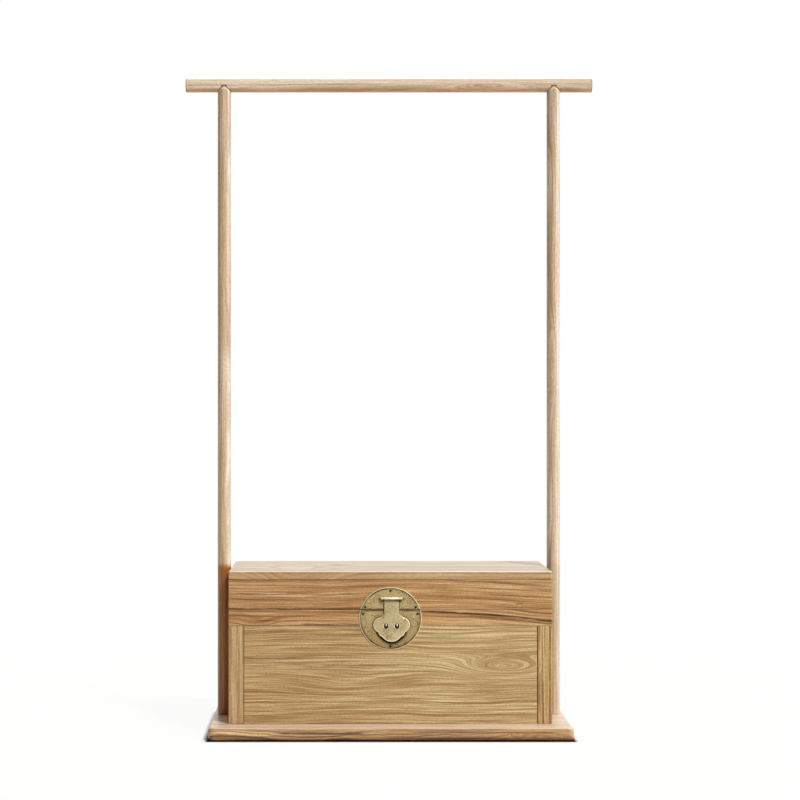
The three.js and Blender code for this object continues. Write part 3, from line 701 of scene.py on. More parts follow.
def dress_boards(shared, boards):
    """Gives nodes of the construction their timber, each as it differs from what they share."""
    for node, differences in boards.items():
        low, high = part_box(node)
        slots = nodes[node].data.materials
        slots.clear()
        slots.append(wood_finish(f"{node}_wood", low, high, {**shared, **differences}))
    print("finished", ", ".join(boards))


# %% [markdown]
# ## The timber of the chest
#
# `plain` is the usual stick, `yellow` the paler and yellower one that the panels are made of, and
# `stile` a quiet upright piece of it. Lengths are in metres, and colours are as on a screen. The
# tints for fibres, threads and pores are factors on the colour under them.

# %% Shared timber
upright = (0, -90, 0)
front_to_back = (0, 0, 90)
plain = {
    "pith": (0, 0.10, -0.24), "lean": (0, 0, 0), "ring": 0.0085, "wander": 0.03, "seed": 1.0,
    "early": linear(214, 183, 138), "warm": linear(199, 160, 111),
    "late": linear(104, 52, 18), "streak": linear(148, 88, 40), "knot_and_painted_shade": linear(76, 34, 14),
    "rubbed_and_painted_light": linear(224, 192, 150), "rub": 0.08, "rub_width": 0.004, "patchy": 0.6,
    "contrast": 0.85, "streaks": 0.5, "coat": 0.35,
    "Fibre": (0.83, 0.76, 0.65), "Thread": (0.60, 0.49, 0.36), "Pores": (0.84, 0.79, 0.73),
}
yellow = {
    "early": linear(219, 203, 162), "warm": linear(205, 181, 136),
    "late": linear(122, 80, 36), "streak": linear(164, 118, 64), "knot_and_painted_shade": linear(104, 62, 26),
    "rubbed_and_painted_light": linear(226, 198, 152),
}
stile = {
    **yellow, "lean": upright, "wander": 0.012,
    "early": linear(205, 182, 141), "warm": linear(190, 160, 117), "knot_and_painted_shade": linear(92, 52, 22),
}

# %% [markdown]
# ## The front boards
#
# These are the boards that the picture shows, so each has its own features. The lid's front edge
# shows arches cut slantwise, its front top edge carries a painted highlight and its top a painted
# sheen. The rail under the seam has a dark streak that runs downhill to the right. The panel has
# long ellipses right of the lock. The dark lines close to a board's edge are the painted shadow in
# the joint to its neighbour, and the tints along X paint the left ends darker, as shade away from
# the light.
#
# How to read an entry: a swirl is (middle, reach, rings), a line is (height, width, from, to,
# strength, wobble), a tint is (axis, from, to, factor), a slope is (from, to, drop) and the painted
# sheen is (from, to, strength), measured upwards.

# %% Timber of the front
lid_boards = {
    "lid_top": {
        **stile, "lean": (0, 0, 0), "pith": (0.0, 0.02, 0.30), "ring": 0.012, "seed": 3.0,
        "contrast": 0.5, "streaks": 0.3, "coat": 1.0,
        "Fibre": (0.86, 0.80, 0.72), "Thread": (0.80, 0.72, 0.62),
        # Painted highlight along the front top edge, and a painted sheen that pales the top face.
        "rub": 1.0, "rub_width": 0.0060, "highlight_above": 0.0096, "patchy": 0.1,
        "rubbed_and_painted_light": linear(250, 236, 220), "painted_sheen": (0.0100, 0.0109, 0.35),
        # The top face toned to go with its painted sheen, and painted shade on the strip under the bright edge.
        "tints": [("Z", 0.0098, 0.0109, (0.86, 0.88, 0.94)),
                  ("Z", 0.0098, 0.0088, (0.95, 0.92, 0.90))],
        "swirls": [((-0.25, -0.16, -0.011), (0.10, 0.25, 0.06), -4.2)],
        # Painted shade: a dark line under the bright front edge.
        "lines": [(0.0074, 0.0012, -0.5, 0.5, 0.6, 0.001)],
    },
    "lid_front": {
        "pith": (0, 0.05, -0.34), "ring": 0.0078, "seed": 5.0, "streaks": 0.6,
        "early": linear(217, 187, 144), "warm": linear(202, 164, 116),
        # Painted shade: the left end darker, away from the light.
        "tints": [("X", 0.15, -0.25, (0.86, 0.80, 0.76))],
        "slope": (0.1, 0.5, 0.012),
        "swirls": [((0.3375, 0, -0.030), (0.008, 0.02, 0.004), 7.0)],
        "lines": [(-0.0380, 0.0028, -0.5, 0.12, 1.0, 0.001),
                  (-0.0385, 0.0012, 0.05, 0.5, 0.6, 0.0),
                  (0.0375, 0.0022, -0.5, 0.5, 0.45, 0.001), (0.001, 0.0018, -0.46, -0.06, 0.6),
                  (-0.014, 0.0016, -0.46, -0.2, 0.45), (-0.026, 0.0018, 0.22, 0.5, 0.55),
                  (0.020, 0.0018, 0.2, 0.5, 0.5), (0.004, 0.0017, 0.24, 0.5, 0.55)],
    },
}
front_boards = {
    "front_top_rail": {
        "pith": (0, 0.06, -0.25), "ring": 0.0095, "wander": 0.05, "seed": 8.0, "contrast": 0.9,
        "slope": (0.05, 0.6, 0.034), "streaks": 0.65,
        # Painted shade: the left end darker, away from the light.
        "tints": [("X", 0.15, -0.25, (0.98, 0.96, 0.94))],
        "swirls": [((-0.353, 0, -0.012), (0.05, 0.1, 0.02), 1.6)],
        "lines": [(0.0185, 0.0032, 0.04, 0.6, 1.0), (0.0115, 0.0020, 0.16, 0.6, 0.65),
                  (0.0155, 0.0014, -0.5, 0.02, 0.7, 0.002),
                  (-0.0208, 0.0016, -0.5, 0.5, 0.6, 0.001),
                  (-0.0174, 0.0026, -0.24, -0.05, 0.8), (0.004, 0.0018, -0.47, -0.18, 0.6),
                  (-0.008, 0.0018, -0.38, -0.08, 0.6)],
    },
    "front_left_stile": {
        **stile, "pith": (0, 0.03, 0.08), "ring": 0.010, "seed": 11.0,
        "early": linear(200, 177, 137), "warm": linear(186, 156, 113),
        "contrast": 0.5, "streaks": 0.35,
        "lines": [(-0.0190, 0.0014, -0.2, 0.2, 0.6, 0.001)],
    },
    "front_right_stile": {
        **stile, "pith": (0, 0.02, 0.05), "ring": 0.008, "seed": 14.0,
        "early": linear(216, 192, 146), "warm": linear(201, 169, 121),
        "contrast": 0.75, "streaks": 0.6,
        "lines": [(0.0185, 0.0020, -0.2, 0.2, 0.75, 0.002),
                  (0.0125, 0.0018, -0.2, 0.2, 0.65, 0.004),
                  (-0.0140, 0.0024, -0.2, 0.2, 0.70, 0.004),
                  (0.004, 0.0020, -0.2, -0.01, 0.6, 0.004)],
    },
    "front_panel": {
        **yellow, "pith": (0, 0.06, -0.28), "ring": 0.0130, "wander": 0.035, "seed": 17.0,
        "contrast": 0.58, "streaks": 0.15,
        "Fibre": (0.88, 0.83, 0.75), "Thread": (0.55, 0.44, 0.31),
        "early": linear(219, 202, 161), "warm": linear(205, 181, 137),
        # Painted shade: the left end darker, away from the light.
        "tints": [("X", 0.2, -0.25, (0.88, 0.82, 0.76))],
        "swirls": [((0.30, 0, 0.017), (0.10, 0.1, 0.021), 4.4),
                   ((-0.10, 0, -0.03), (0.14, 0.1, 0.03), 1.6)],
        "lines": [(0.021, 0.0024, -0.46, 0.05, 0.5), (0.040, 0.0018, -0.46, -0.22, 0.55),
                  (0.112, 0.0040, -0.46, -0.26, 0.35), (-0.010, 0.0014, -0.28, 0.04, 0.4)],
    },
}
dress_boards(plain, lid_boards)
dress_boards(plain, front_boards)

# %% [markdown]
# ## The other boards of the chest
#
# The picture doesn't show them, but other views do. They need no features of their own, only
# another stick each, so mostly the seed and the place of the pith change.

# %% Timber of the sides, back and bottom
side = {**yellow, "lean": front_to_back, "ring": 0.010, "wander": 0.04}
dress_boards(plain, {
    "back_top_rail": {"seed": 21.0, "pith": (0, -0.06, -0.2)},
    "back_left_stile": {"seed": 22.0, "lean": upright, "pith": (0, 0.03, 0.05)},
    "back_right_stile": {"seed": 23.0, "lean": upright, "pith": (0, 0.02, -0.06)},
    "back_panel": {
        **yellow, "seed": 24.0, "pith": (0, -0.08, 0.2), "ring": 0.0115, "wander": 0.05,
        "contrast": 0.6, "swirls": [((-0.2, 0, -0.03), (0.09, 0.1, 0.025), 3.0)],
    },
    "left_side_board": {**side, "seed": 31.0, "pith": (0, 0.09, -0.16)},
    "right_side_board": {**side, "seed": 32.0, "pith": (0, -0.08, 0.17)},
    "lid_left": {"seed": 33.0, "lean": front_to_back, "pith": (0, 0.2, -0.2)},
    "lid_right": {"seed": 34.0, "lean": front_to_back, "pith": (0, -0.2, 0.2)},
    "lid_back": {"seed": 35.0, "pith": (0, -0.05, -0.3)},
    "bottom_board": {"seed": 36.0, "pith": (0, 0.04, -0.09), "ring": 0.008},
})

# %% [markdown]
# ## The base
#
# The base is one thick plank with rounded edges. Its top is nearly white with a painted sheen, and
# its top edges are rubbed pale with a painted highlight. Its front edge shows the darkest and
# reddest grain of the whole stand, and towards the floor it is painted darker still, as shade,
# down to a painted shadow line along the bottom. Two small knots sit in the right half of that
# edge.

# %% Timber of the base
dress_boards(plain, {
    "base_board": {
        "seed": 41.0, "pith": (0, 0.05, 0.16), "ring": 0.0085, "wander": 0.06,
        "contrast": 0.85, "streaks": 0.6, "coat": 1.0,
        # Pale rubbed top edges with a painted highlight, and a painted sheen on the top face.
        "rub": 0.12, "rub_width": 0.008, "highlight_above": 0.004, "painted_sheen": (0.0140, 0.0166, 0.74),
        "early": linear(220, 190, 142), "warm": linear(200, 163, 115),
        "rubbed_and_painted_light": linear(232, 213, 198), "late": linear(86, 44, 18),
        "streak": linear(112, 64, 32), "knot_and_painted_shade": linear(58, 26, 11),
        # Painted shade: the front darker towards the floor.
        "tints": [("Z", -0.0010, -0.0090, (0.58, 0.46, 0.34)),
                  ("Z", -0.0130, -0.0168, (0.62, 0.52, 0.44))],
        "swirls": [((0.326, -0.225, 0.004), (0.012, 0.03, 0.005), 7.0),
                   ((0.38, -0.225, 0.0), (0.05, 0.06, 0.010), 1.0)],
        "lines": [(0.0035, 0.0024, -0.30, -0.06, 0.95, 0.006),
                  (-0.004, 0.0018, -0.5, -0.1, 0.7, 0.006),
                  (0.0010, 0.0014, -0.2, 0.12, 0.6, 0.006),
                  (-0.009, 0.0018, -0.02, 0.32, 0.7, 0.006),
                  (0.006, 0.0016, 0.05, 0.45, 0.65, 0.006),
                  # Painted shadow: a dark line along the bottom edge.
                  (-0.0165, 0.0035, -0.5, 0.5, 0.8, 0.001)],
    },
})

# %% [markdown]
# ## The poles
#
# The bar and the posts are turned from a paler, finer stick than the boards, and are sanded
# smooth. Their grain is drawn long and faint, with a tall arch near the right end of the bar. The
# side towards the light is painted paler and cooler and the side away from it warmer and darker,
# the bar's top is painted paler and its underside darker, as light and shade, and the bar's cut
# ends are dark. Beside the chest the left post's front is painted dark brown, the chest's shadow,
# and the right post is painted a little darker below the lid's height, as shade. At each joint a
# seam is a painted shadow with a painted highlight beside it. A seam is (colour, strength,
# middle, radius, width, below).

# %% Timber of the poles
pole = {
    **plain, "ring": 0.0065, "wander": 0.02, "contrast": 0.6, "streaks": 0.3, "rub": 0.3,
    "early": linear(221, 207, 188), "warm": linear(210, 189, 162), "late": linear(126, 82, 44),
    "streak": linear(160, 116, 72), "knot_and_painted_shade": linear(74, 42, 18), "rubbed_and_painted_light": linear(236, 218, 192),
    "Fibre": (0.88, 0.81, 0.72), "Thread": (0.74, 0.65, 0.54), "coat": 1.0,
}
post_low, post_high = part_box("left_post")
bar_low, bar_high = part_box("hanging_bar")
bar_over_post_middle = (bar_low.z + bar_high.z) / 2 - (post_low.z + post_high.z) / 2
post_place = 0.446
everywhere = 1.0
# Painted highlight on the rounded edge and painted shadow in the seam where each post meets the bar.
post_seams = [
    ("rubbed_and_painted_light", 0.7, (bar_over_post_middle, 0, 0), 0.0198, 0.0009, everywhere),
    ("knot_and_painted_shade", 0.9, (bar_over_post_middle, 0, 0), 0.0178, 0.0006, everywhere),
]
cut_end = (0.5, 0.38, 0.28)
# Painted light and shade: the right side paler and cooler, the left side warmer and darker.
painted_side_light = [("Z", -0.004, -0.016, (1.0, 1.15, 1.42)), ("Z", 0.004, 0.016, (1.0, 0.97, 0.92))]
poles = {
    "hanging_bar": {
        "seed": 51.0, "pith": (0, 0.03, 0.04), "wander": 0.025,
        "early": linear(228, 215, 198), "warm": linear(217, 197, 173),
        # Painted light and shade: the bar's top paler and cooler, its underside darker and warmer; the cut ends
        # dark.
        "tints": [("Z", 0.004, 0.014, (1.02, 1.07, 1.15)),
                  ("Z", -0.006, -0.016, (0.92, 0.71, 0.48)),
                  ("X", -0.5462, -0.5495, cut_end), ("X", 0.5462, 0.5495, cut_end)],
        # Painted shadow of the seam under each post.
        "seams": [("knot_and_painted_shade", 1.0, (sign * post_place, 0, 0), 0.0184, 0.0008, -0.0011)
                  for sign in (-1, 1)],
        "swirls": [((0.27, -0.015, 0.0), (0.09, 0.02, 0.012), 3.0),
                   ((-0.315, -0.01, 0.014), (0.008, 0.01, 0.004), 7.0),
                   ((0.385, -0.016, -0.006), (0.008, 0.01, 0.004), 7.0)],
    },
    "left_post": {
        "seed": 52.0, "lean": upright, "pith": (0, 0.028, 0.03), "seams": post_seams,
        # Painted shadow of the chest: the left post's front dark brown below the lid's height.
        "tints": [("X", -0.436, -0.452, (0.66, 0.31, 0.06), ("Y", 0.012, 0.001)), *painted_side_light],
    },
    "right_post": {
        "seed": 53.0, "lean": upright, "pith": (0, 0.022, -0.04), "seams": post_seams,
        "early": linear(224, 212, 196), "warm": linear(213, 194, 170),
        # Painted shade: a little darker below the lid's height, beside the chest.
        "tints": [("X", -0.42, -0.46, (0.84, 0.84, 0.78)), *painted_side_light],
        "swirls": [((0.1, -0.015, 0.0), (0.12, 0.02, 0.012), 2.5)],
    },
}
dress_boards(pole, poles)

# %% [markdown]
# ## Pieces that take over from the construction
#
# The construction is made of flat facets, which is fine for a board and too coarse for what is
# round. A copy of such a part is merged into one skin, its flat fields are put together again
# and everything that isn't a real edge is shaded smooth. The copy then takes the part's place,
# so it has to sit on the same body and name the same finish.

# %% Helpers for pieces
body_of_node = {
    node: body for body, names in frame["record"]["behaviour"]["bodies"].items() for node in names
}
slot_of_node = {part["node"]: part["material_slot"] for part in frame["record"]["subparts"]}
merge_distance = 2e-6
same_plane = math.radians(0.5)


def middle_of(node):
    """The middle of a node's box."""
    low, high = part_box(node)
    return (low + high) / 2


def finish_piece(name, mesh, node, material):
    """Puts a bmesh in the scene as the piece that stands for a node."""
    data = bpy.data.meshes.new(name)
    mesh.to_mesh(data)
    mesh.free()
    data.materials.append(material)
    piece = bpy.data.objects.new(name, data)
    bpy.context.scene.collection.objects.link(piece)
    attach(piece, body_of_node[node])
    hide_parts(node)
    return piece


def shade_smooth(mesh, sharp_from=34):
    """Smooth shading, broken only at edges that bend by more than sharp_from degrees."""
    for face in mesh.faces:
        face.smooth = True
    for edge in mesh.edges:
        edge.smooth = edge.is_manifold and edge.calc_face_angle(0) < math.radians(sharp_from)


def smooth_copy(node, flat_field=0.0015):
    """A merged copy of a node's mesh; fields larger than flat_field (square metres) stay flat."""
    mesh = bmesh.new()
    mesh.from_mesh(nodes[node].data)
    bmesh.ops.remove_doubles(mesh, verts=mesh.verts, dist=merge_distance)
    bmesh.ops.dissolve_limit(mesh, angle_limit=same_plane, verts=mesh.verts, edges=mesh.edges)
    shade_smooth(mesh)
    for face in mesh.faces:
        if face.calc_area() > flat_field:
            face.smooth = False
    return mesh


for node in ("base_board", "lid_top"):
    finish_piece(f"smooth_{node}", smooth_copy(node), node, nodes[node].data.materials[0])
for node in poles:
    mesh = smooth_copy(node, flat_field=1.0)
    finish_piece(f"smooth_{node}", mesh, node, nodes[node].data.materials[0])
print("smooth timber pieces", 2 + len(poles))

# %% [markdown]
# ## Old brass
#
# Brass that nobody polishes goes olive and matt in patches. Under the patches it is still metal,
# on top of them it is closer to paint. So one mask drives the colour, the roughness and how
# metallic the surface is. Fine brush marks run across the sheet and small dark specks sit in it.

# %% Patina
patch_pitch, blotch_pitch, speck_pitch = 34.0, 340.0, 430.0
brush_pitch = (60, 60, 1500)
patch_edge, patch_softness = 0.80, 0.24

brass_patina, g, given, result = make_group(
    "brass_patina", ["Vector"], ["Seed", "Amount"], ["Tarnish", "Specks", "Brushing"]
)
wide = g.noise(given["Vector"], patch_pitch, 3.0, 0.6, given["Seed"])
small = g.noise(given["Vector"], blotch_pitch, 1.0, 0.6, given["Seed"])
mixed = g.math("MULTIPLY_ADD", small, 0.65, g.times(wide, 0.55))
low_edge = g.math("SUBTRACT", patch_edge, given["Amount"])
g.put(result["Tarnish"], g.step(mixed, low_edge, g.math("ADD", low_edge, patch_softness)))
dots = g.noise(given["Vector"], speck_pitch, 1.0, 0.5, given["Seed"])
g.put(result["Specks"], g.step(dots, 0.57, 0.72))
brushed = g.vector("MULTIPLY", given["Vector"], brush_pitch)
g.put(result["Brushing"], g.noise(brushed, 1.0, 2.0, 0.6, given["Seed"]))

# %% [markdown]
# ## Round marks
#
# Dirt gathers inside the plate's rim, round the nails and under the hasp's head. Painted shade
# darkens the plate round the staples and beside the knuckles' ends, a painted shadow follows the
# hasp's head, and edges that stand proud carry a painted highlight. All of that is drawn with one
# mask, seen from the front: a ring, or a part of one, or a soft spot when the radius is 0.
# `Facing` and `Limit` choose the part of the ring, and noise can break it up.

# %% Round mark
round_mark, g, given, result = make_group(
    "round_mark", ["Vector", "Centre", "Facing"],
    ["Radius", "Width", "Limit", "Patchy", "Seed"], ["Mask"],
)
flat = g.vector("MULTIPLY", g.vector("SUBTRACT", given["Vector"], given["Centre"]), (1, 0, 1))
off = g.math("SUBTRACT", g.length(flat), given["Radius"])
band = g.bell(g.math("DIVIDE", off, given["Width"]))
towards = g.dot(g.vector("NORMALIZE", flat), given["Facing"])
limit = given["Limit"]
in_reach = g.step(towards, g.math("SUBTRACT", limit, 0.12), g.math("ADD", limit, 0.04))
uneven = g.step(g.noise(given["Vector"], 45.0, 2.0, 0.5, given["Seed"]), 0.38, 0.62)
kept = g.flip(g.times(g.flip(uneven), given["Patchy"]))
g.put(result["Mask"], g.times(band, in_reach, kept))

# %% [markdown]
# ## One function for every metal
#
# Brass, zinc and the dark nails differ in colours, age and gloss, and in where their marks are.
# Straight marks are measured from the hasp's pin, in a frame that can be turned, round ones in
# the construction's own frame.

# %% The metal finish
pin_place = Vector(joints["hasp_hinge"]["pos_m"])
metal_relief = 0.0001
metal_gloss = 0.15


def metal_finish(name, metal):
    """A material for old sheet metal, from its colours and age, with painted shade and highlights."""
    material, g = new_material(name)
    at = g.add("ShaderNodeTexCoord").outputs["Object"]
    seed = metal["seed"]
    patina = use_group(g, brass_patina, Vector=at, Seed=seed, Amount=metal["age"])
    colour = g.blend(patina["Tarnish"], metal["clean"], metal["tarnished"])
    colour = g.blend(g.times(patina["Specks"], 0.6), colour, metal["dirt"])
    tarnish = patina["Tarnish"]
    # Painted shade: darker towards the bottom.
    if "painted_shade" in metal:
        start, stop, factor = metal["painted_shade"]
        colour = g.tint(g.flip(g.step(g.parts(at)["Z"], start, stop)), colour, factor)
    # Straight marks: painted shadows and highlights along the knuckles and the strap, and painted shade in the
    # plates' seam.
    for paint, strength, turn, height, width, start, stop in metal.get("lines", []):
        mark = use_group(
            g, dark_line, Vector=g.turned(at, pin_place, turn), Height=height, Width=width,
            From=start, To=stop, Wobble=0.0, Seed=seed,
        )["Mask"]
        mark = g.times(mark, strength)
        colour = g.blend(mark, colour, metal[paint])
        tarnish = g.math("MAXIMUM", tarnish, mark)
    # Round marks: dirt and grime, and painted shade, shadows and highlights.
    for paint, strength, centre, radius, width, facing, limit, patchy in metal.get("marks", []):
        mark = use_group(
            g, round_mark, Vector=at, Centre=centre, Radius=radius, Width=width, Facing=facing,
            Limit=limit, Patchy=patchy, Seed=seed,
        )["Mask"]
        mark = g.times(mark, strength)
        colour = g.blend(mark, colour, metal[paint])
        if paint == "dirt":
            tarnish = g.math("MAXIMUM", tarnish, mark)
    rough = g.math("MULTIPLY_ADD", tarnish, 0.22, metal["rough"])
    rough = g.math("MULTIPLY_ADD", patina["Brushing"], 0.10, rough)
    height = g.math("MULTIPLY_ADD", patina["Specks"], -0.8, patina["Brushing"])
    shader = lay_surface(g, colour, rough, height, metal_relief, 0.3, metal_gloss)
    metallic = g.math("MULTIPLY_ADD", tarnish, -0.5, metal["metallic"])
    g.put(shader.inputs["Metallic"], metallic)
    return material


# %% [markdown]
# ## The lock's measures
#
# The round plate's middle lies below the seam, so that the upper part on the lid is the smaller
# one. The plate, the staples, the nails and the pin are measured from the construction: the
# plate's radius from the lower plate's width, the pin from the joint that the hasp swings on. The
# plate is drawn a little larger than the construction's, as large as the picture shows it.

# %% Measures of the plate
plate_growth = 0.0012
plate_low, plate_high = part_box("lock_plate_lower")
plate_half = (plate_high.x - plate_low.x) / 2
plate_radius = plate_half + plate_growth
plate_centre = Vector((0, 0, plate_low.z + plate_half))
plate_front, plate_back = plate_low.y, plate_high.y
split_low = plate_high.z
split_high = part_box("lock_plate_upper")[0].z
eye_places = [middle_of(f"lock_eye_{side_name}") for side_name in ("left", "right")]
nail_nodes = [f"plate_nail_{number}" for number in range(1, 7)]
print("plate radius", round(plate_radius, 4), "centre height", round(plate_centre.z, 4))

# %% [markdown]
# The hasp's head is cut in the shape of a cloud. Half of its outline is told here as points,
# each a half width and a drop below the pin, and between most of them the edge is an arc, a lobe
# that bulges outwards by its rise.

# %% Measures of the hasp
strap_half = 0.0195
strap_end = 0.0385
waist = (0.0302, 0.0480)
hip = (0.0350, 0.0868)
ankle = (0.0240, 0.0992)
hasp_drop = 0.1120
hasp_thickness = 0.0028
hasp_back = plate_front - 0.0012
barrel_length = 0.057


def lobe(start, stop, rise):
    """The arc from start to stop that bulges outwards by rise, in half width and drop."""
    start, stop = Vector(start), Vector(stop)
    chord = stop - start
    radius = chord.length**2 / (8 * rise) + rise / 2
    outwards = Vector((chord.y, -chord.x)).normalized()
    centre = (start + stop) / 2 - outwards * (radius - rise)
    reach = math.sqrt(1 - (chord.length / 2 / radius) ** 2)
    return {"centre": centre, "radius": radius, "outwards": outwards, "reach": reach}


side_lobe = lobe(waist, hip, 0.0154)
low_lobe = lobe(hip, ankle, 0.0025)
bottom_rise = hasp_drop - ankle[1]
bottom_radius = ankle[0] ** 2 / (2 * bottom_rise) + bottom_rise / 2
bottom_lobe = {
    "centre": Vector((0, hasp_drop - bottom_radius)), "radius": bottom_radius,
    "outwards": Vector((0, 1)), "reach": 1 - bottom_rise / bottom_radius,
}

# %% [markdown]
# The marks of wear and of painted light come in three kinds. A spot sits round a place, such as
# the painted shade round a staple. A ring follows the plate's rim. Arcs follow the hasp's lobes on
# both sides, a little outside them for the painted shadow on the plate and a little inside for the
# painted highlight on the hasp's edge.

# %% Marks of wear and painted light
any_way = ((0, 0, 1), -2.0)
flat_line = (0, 0, 0)


def spots(paint, strength, places, width):
    """A soft spot at each place."""
    return [(paint, strength, tuple(place), 0.0, width, *any_way, 0.0) for place in places]


def ring(paint, strength, place, radius, width, patchy=0.0):
    """A whole ring round a place."""
    return (paint, strength, tuple(place), radius, width, *any_way, patchy)


def from_pin(sideways, drop):
    """A place told from the pin."""
    return (pin_place.x + sideways, 0, pin_place.z - drop)


def arcs(paint, strength, grow, width, lobes):
    """Marks along the hasp's lobes on both sides, grown outwards by grow."""
    marks = []
    for arc in lobes:
        for sign in (-1, 1):
            centre = from_pin(sign * arc["centre"].x, arc["centre"].y)
            facing = (sign * arc["outwards"].x, 0, -arc["outwards"].y)
            marks.append(
                (paint, strength, centre, arc["radius"] + grow, width, facing, arc["reach"], 0.0)
            )
    return marks


# %% [markdown]
# ## The lock's metals
#
# The plate is the duller brass, painted darker towards its lower edge as shade, and grimy where
# the hasp's head covers it. It carries painted shade round the staples, beside the knuckles' ends
# and in the seam between the plates, painted shadow round the hasp's head, under the knuckles and
# beside the strap, and a painted highlight on its rim and on the knuckles' tops. The hasp is
# touched more often and is brighter; its edges, slot rims and knuckle carry painted highlights,
# and its slots and the strap under the knuckle painted shade. A line is (paint, strength, turn,
# height, width, from, to).

# %% Brass of the plate and the hasp
rim_place = plate_radius - 0.0034
beside_strap = strap_half + 0.0008
seam_drop = split_high - pin_place.z - 0.0030
# Grime under the hasp's head, where no cloth reaches; round the head's edge it widens the painted
# shadow: sideways, drop and size of each patch.
covered = [(-0.027, 0.067, 0.019), (0.027, 0.067, 0.019), (0, 0.070, 0.024), (0, 0.092, 0.020)]
plate_brass = metal_finish("plate_brass", {
    "clean": linear(191, 171, 124), "tarnished": linear(118, 95, 52), "dirt": linear(24, 13, 3),
    "bright": linear(240, 222, 182),
    "age": 0.26, "rough": 0.46, "metallic": 0.60, "seed": 2.0,
    # Painted shade: darker towards the plate's lower edge.
    "painted_shade": (plate_centre.z - plate_radius, plate_centre.z + 0.01, (0.72, 0.64, 0.54)),
    "marks": [
        ring("dirt", 1.0, plate_centre, rim_place, 0.0025, 0.55),
        # Painted highlight on the rim's bevel.
        ring("bright", 0.85, plate_centre, plate_radius - 0.0006, 0.0012, 0.2),
        # Painted shade round the staples.
        *spots("dirt", 1.0, eye_places, 0.0130),
        *[mark for across, drop, size in covered
          for mark in spots("dirt", 0.85, [from_pin(across, drop)], size)],
        # Painted shadow of the hasp's head.
        *arcs("dirt", 0.8, 0.0008, 0.0014, [side_lobe]),
        *arcs("dirt", 1.0, 0.0024, 0.0040, [low_lobe, bottom_lobe]),
        # Painted shade beside the knuckles' ends.
        *spots("dirt", 0.9, [from_pin(-0.0315, 0), from_pin(0.0315, 0)], 0.003),
        *spots("dirt", 1.0, [middle_of(node) for node in nail_nodes], 0.0036),
    ],
    "lines": [
        # Painted highlight on the knuckles' tops.
        ("bright", 0.9, flat_line, 0.0034, 0.0018, -0.034, 0.034),
        # Painted shadow under the knuckles.
        ("dirt", 1.0, flat_line, -0.0040, 0.0040, -0.033, 0.033),
        # Painted shadow beside the strap.
        ("dirt", 0.8, upright, -beside_strap, 0.0014, -strap_end - 0.004, 0.004),
        ("dirt", 0.8, upright, beside_strap, 0.0014, -strap_end - 0.004, 0.004),
        # Painted shade in the seam between the plates.
        ("dirt", 0.8, flat_line, seam_drop, 0.0030, -0.09, 0.09),
    ],
})
hasp_brass = metal_finish("hasp_brass", {
    "clean": linear(202, 185, 141), "tarnished": linear(132, 110, 70), "dirt": linear(30, 17, 6),
    "bright": linear(252, 240, 216),
    "age": 0.22, "rough": 0.34, "metallic": 0.68, "seed": 5.0,
    "marks": [
        # Painted highlight on the head's edges.
        *arcs("bright", 0.8, -0.0008, 0.0011, [side_lobe, low_lobe, bottom_lobe]),
        # Painted shade in the slots.
        *spots("dirt", 1.0, eye_places, 0.0066),
        # Painted highlight on the slots' rims.
        *[ring("bright", 0.7, place, 0.0076, 0.0012) for place in eye_places],
    ],
    # Painted shadow on the strap under the knuckle.
    "lines": [("dirt", 1.0, flat_line, -0.0024, 0.0036, -0.026, 0.026),
              # Painted highlight on the knuckle's top.
              ("bright", 1.0, flat_line, 0.0034, 0.0019, -0.026, 0.026)],
})

# %% [markdown]
# The nails have gone nearly black. The staples are nearly black too, partly tarnish and partly
# painted shade of the slots they stand in, with a painted glint on each. The hinges, bolts and
# screws can't be seen in the picture, so they have the plain metal of such fittings.

# %% The other metals
painted_glints = [(place.x, 0, place.z + 0.0040) for place in eye_places]
# Partly tarnish and partly painted shade, with a painted glint high on each staple.
eye_brass = metal_finish("eye_brass", {
    "clean": linear(22, 13, 6), "tarnished": linear(16, 9, 4), "dirt": linear(10, 6, 2),
    "bright": linear(236, 226, 218),
    "age": 0.05, "rough": 0.75, "metallic": 0.1, "seed": 6.0,
    "marks": spots("bright", 1.0, painted_glints, 0.0028),
})
nail_brass = metal_finish("dark_nail_brass", {
    "clean": linear(30, 20, 12), "tarnished": linear(16, 10, 6), "dirt": linear(10, 7, 4),
    "age": 0.4, "rough": 0.75, "metallic": 0.2, "seed": 7.0,
})
hinge_brass = metal_finish("hinge_brass", {
    "clean": linear(176, 150, 98), "tarnished": linear(126, 102, 62), "dirt": linear(60, 44, 24),
    "age": 0.15, "rough": 0.35, "metallic": 0.95, "seed": 9.0,
})
zinc_steel = metal_finish("zinc_steel", {
    "clean": linear(178, 180, 182), "tarnished": linear(140, 142, 144), "dirt": linear(80, 78, 74),
    "age": 0.1, "rough": 0.32, "metallic": 1.0, "seed": 11.0,
})
other_metals = (eye_brass, nail_brass, hinge_brass, zinc_steel)
print("metals", [metal.name for metal in (plate_brass, hasp_brass, *other_metals)])

# %% [markdown]
# ## The round plate
#
# Each half is a disc of sheet brass cut along the seam. The disc comes from a circle, a cut
# with `bisect_plane` takes the other half away, and an extrusion gives the sheet its thickness.
# The front edge is bevelled wide enough to catch a line of light all round, as on the real one,
# and three insets sink a narrow groove inside it.

# %% Round plate
plate_bevel = 0.0009
groove_inset = 0.0021
groove_width = 0.0004
groove_depth = 0.00035


def moved_by(mesh, grown, offset):
    """Moves what an extrusion has made."""
    verts = [item for item in grown["geom"] if isinstance(item, bmesh.types.BMVert)]
    bmesh.ops.translate(mesh, verts=verts, vec=offset)


def bevel_edges(mesh, edges, width):
    """A small round bevel on some edges."""
    bmesh.ops.bevel(
        mesh, geom=edges, offset=width, offset_type="OFFSET", segments=3, profile=0.5,
        affect="EDGES", material=-1,
    )


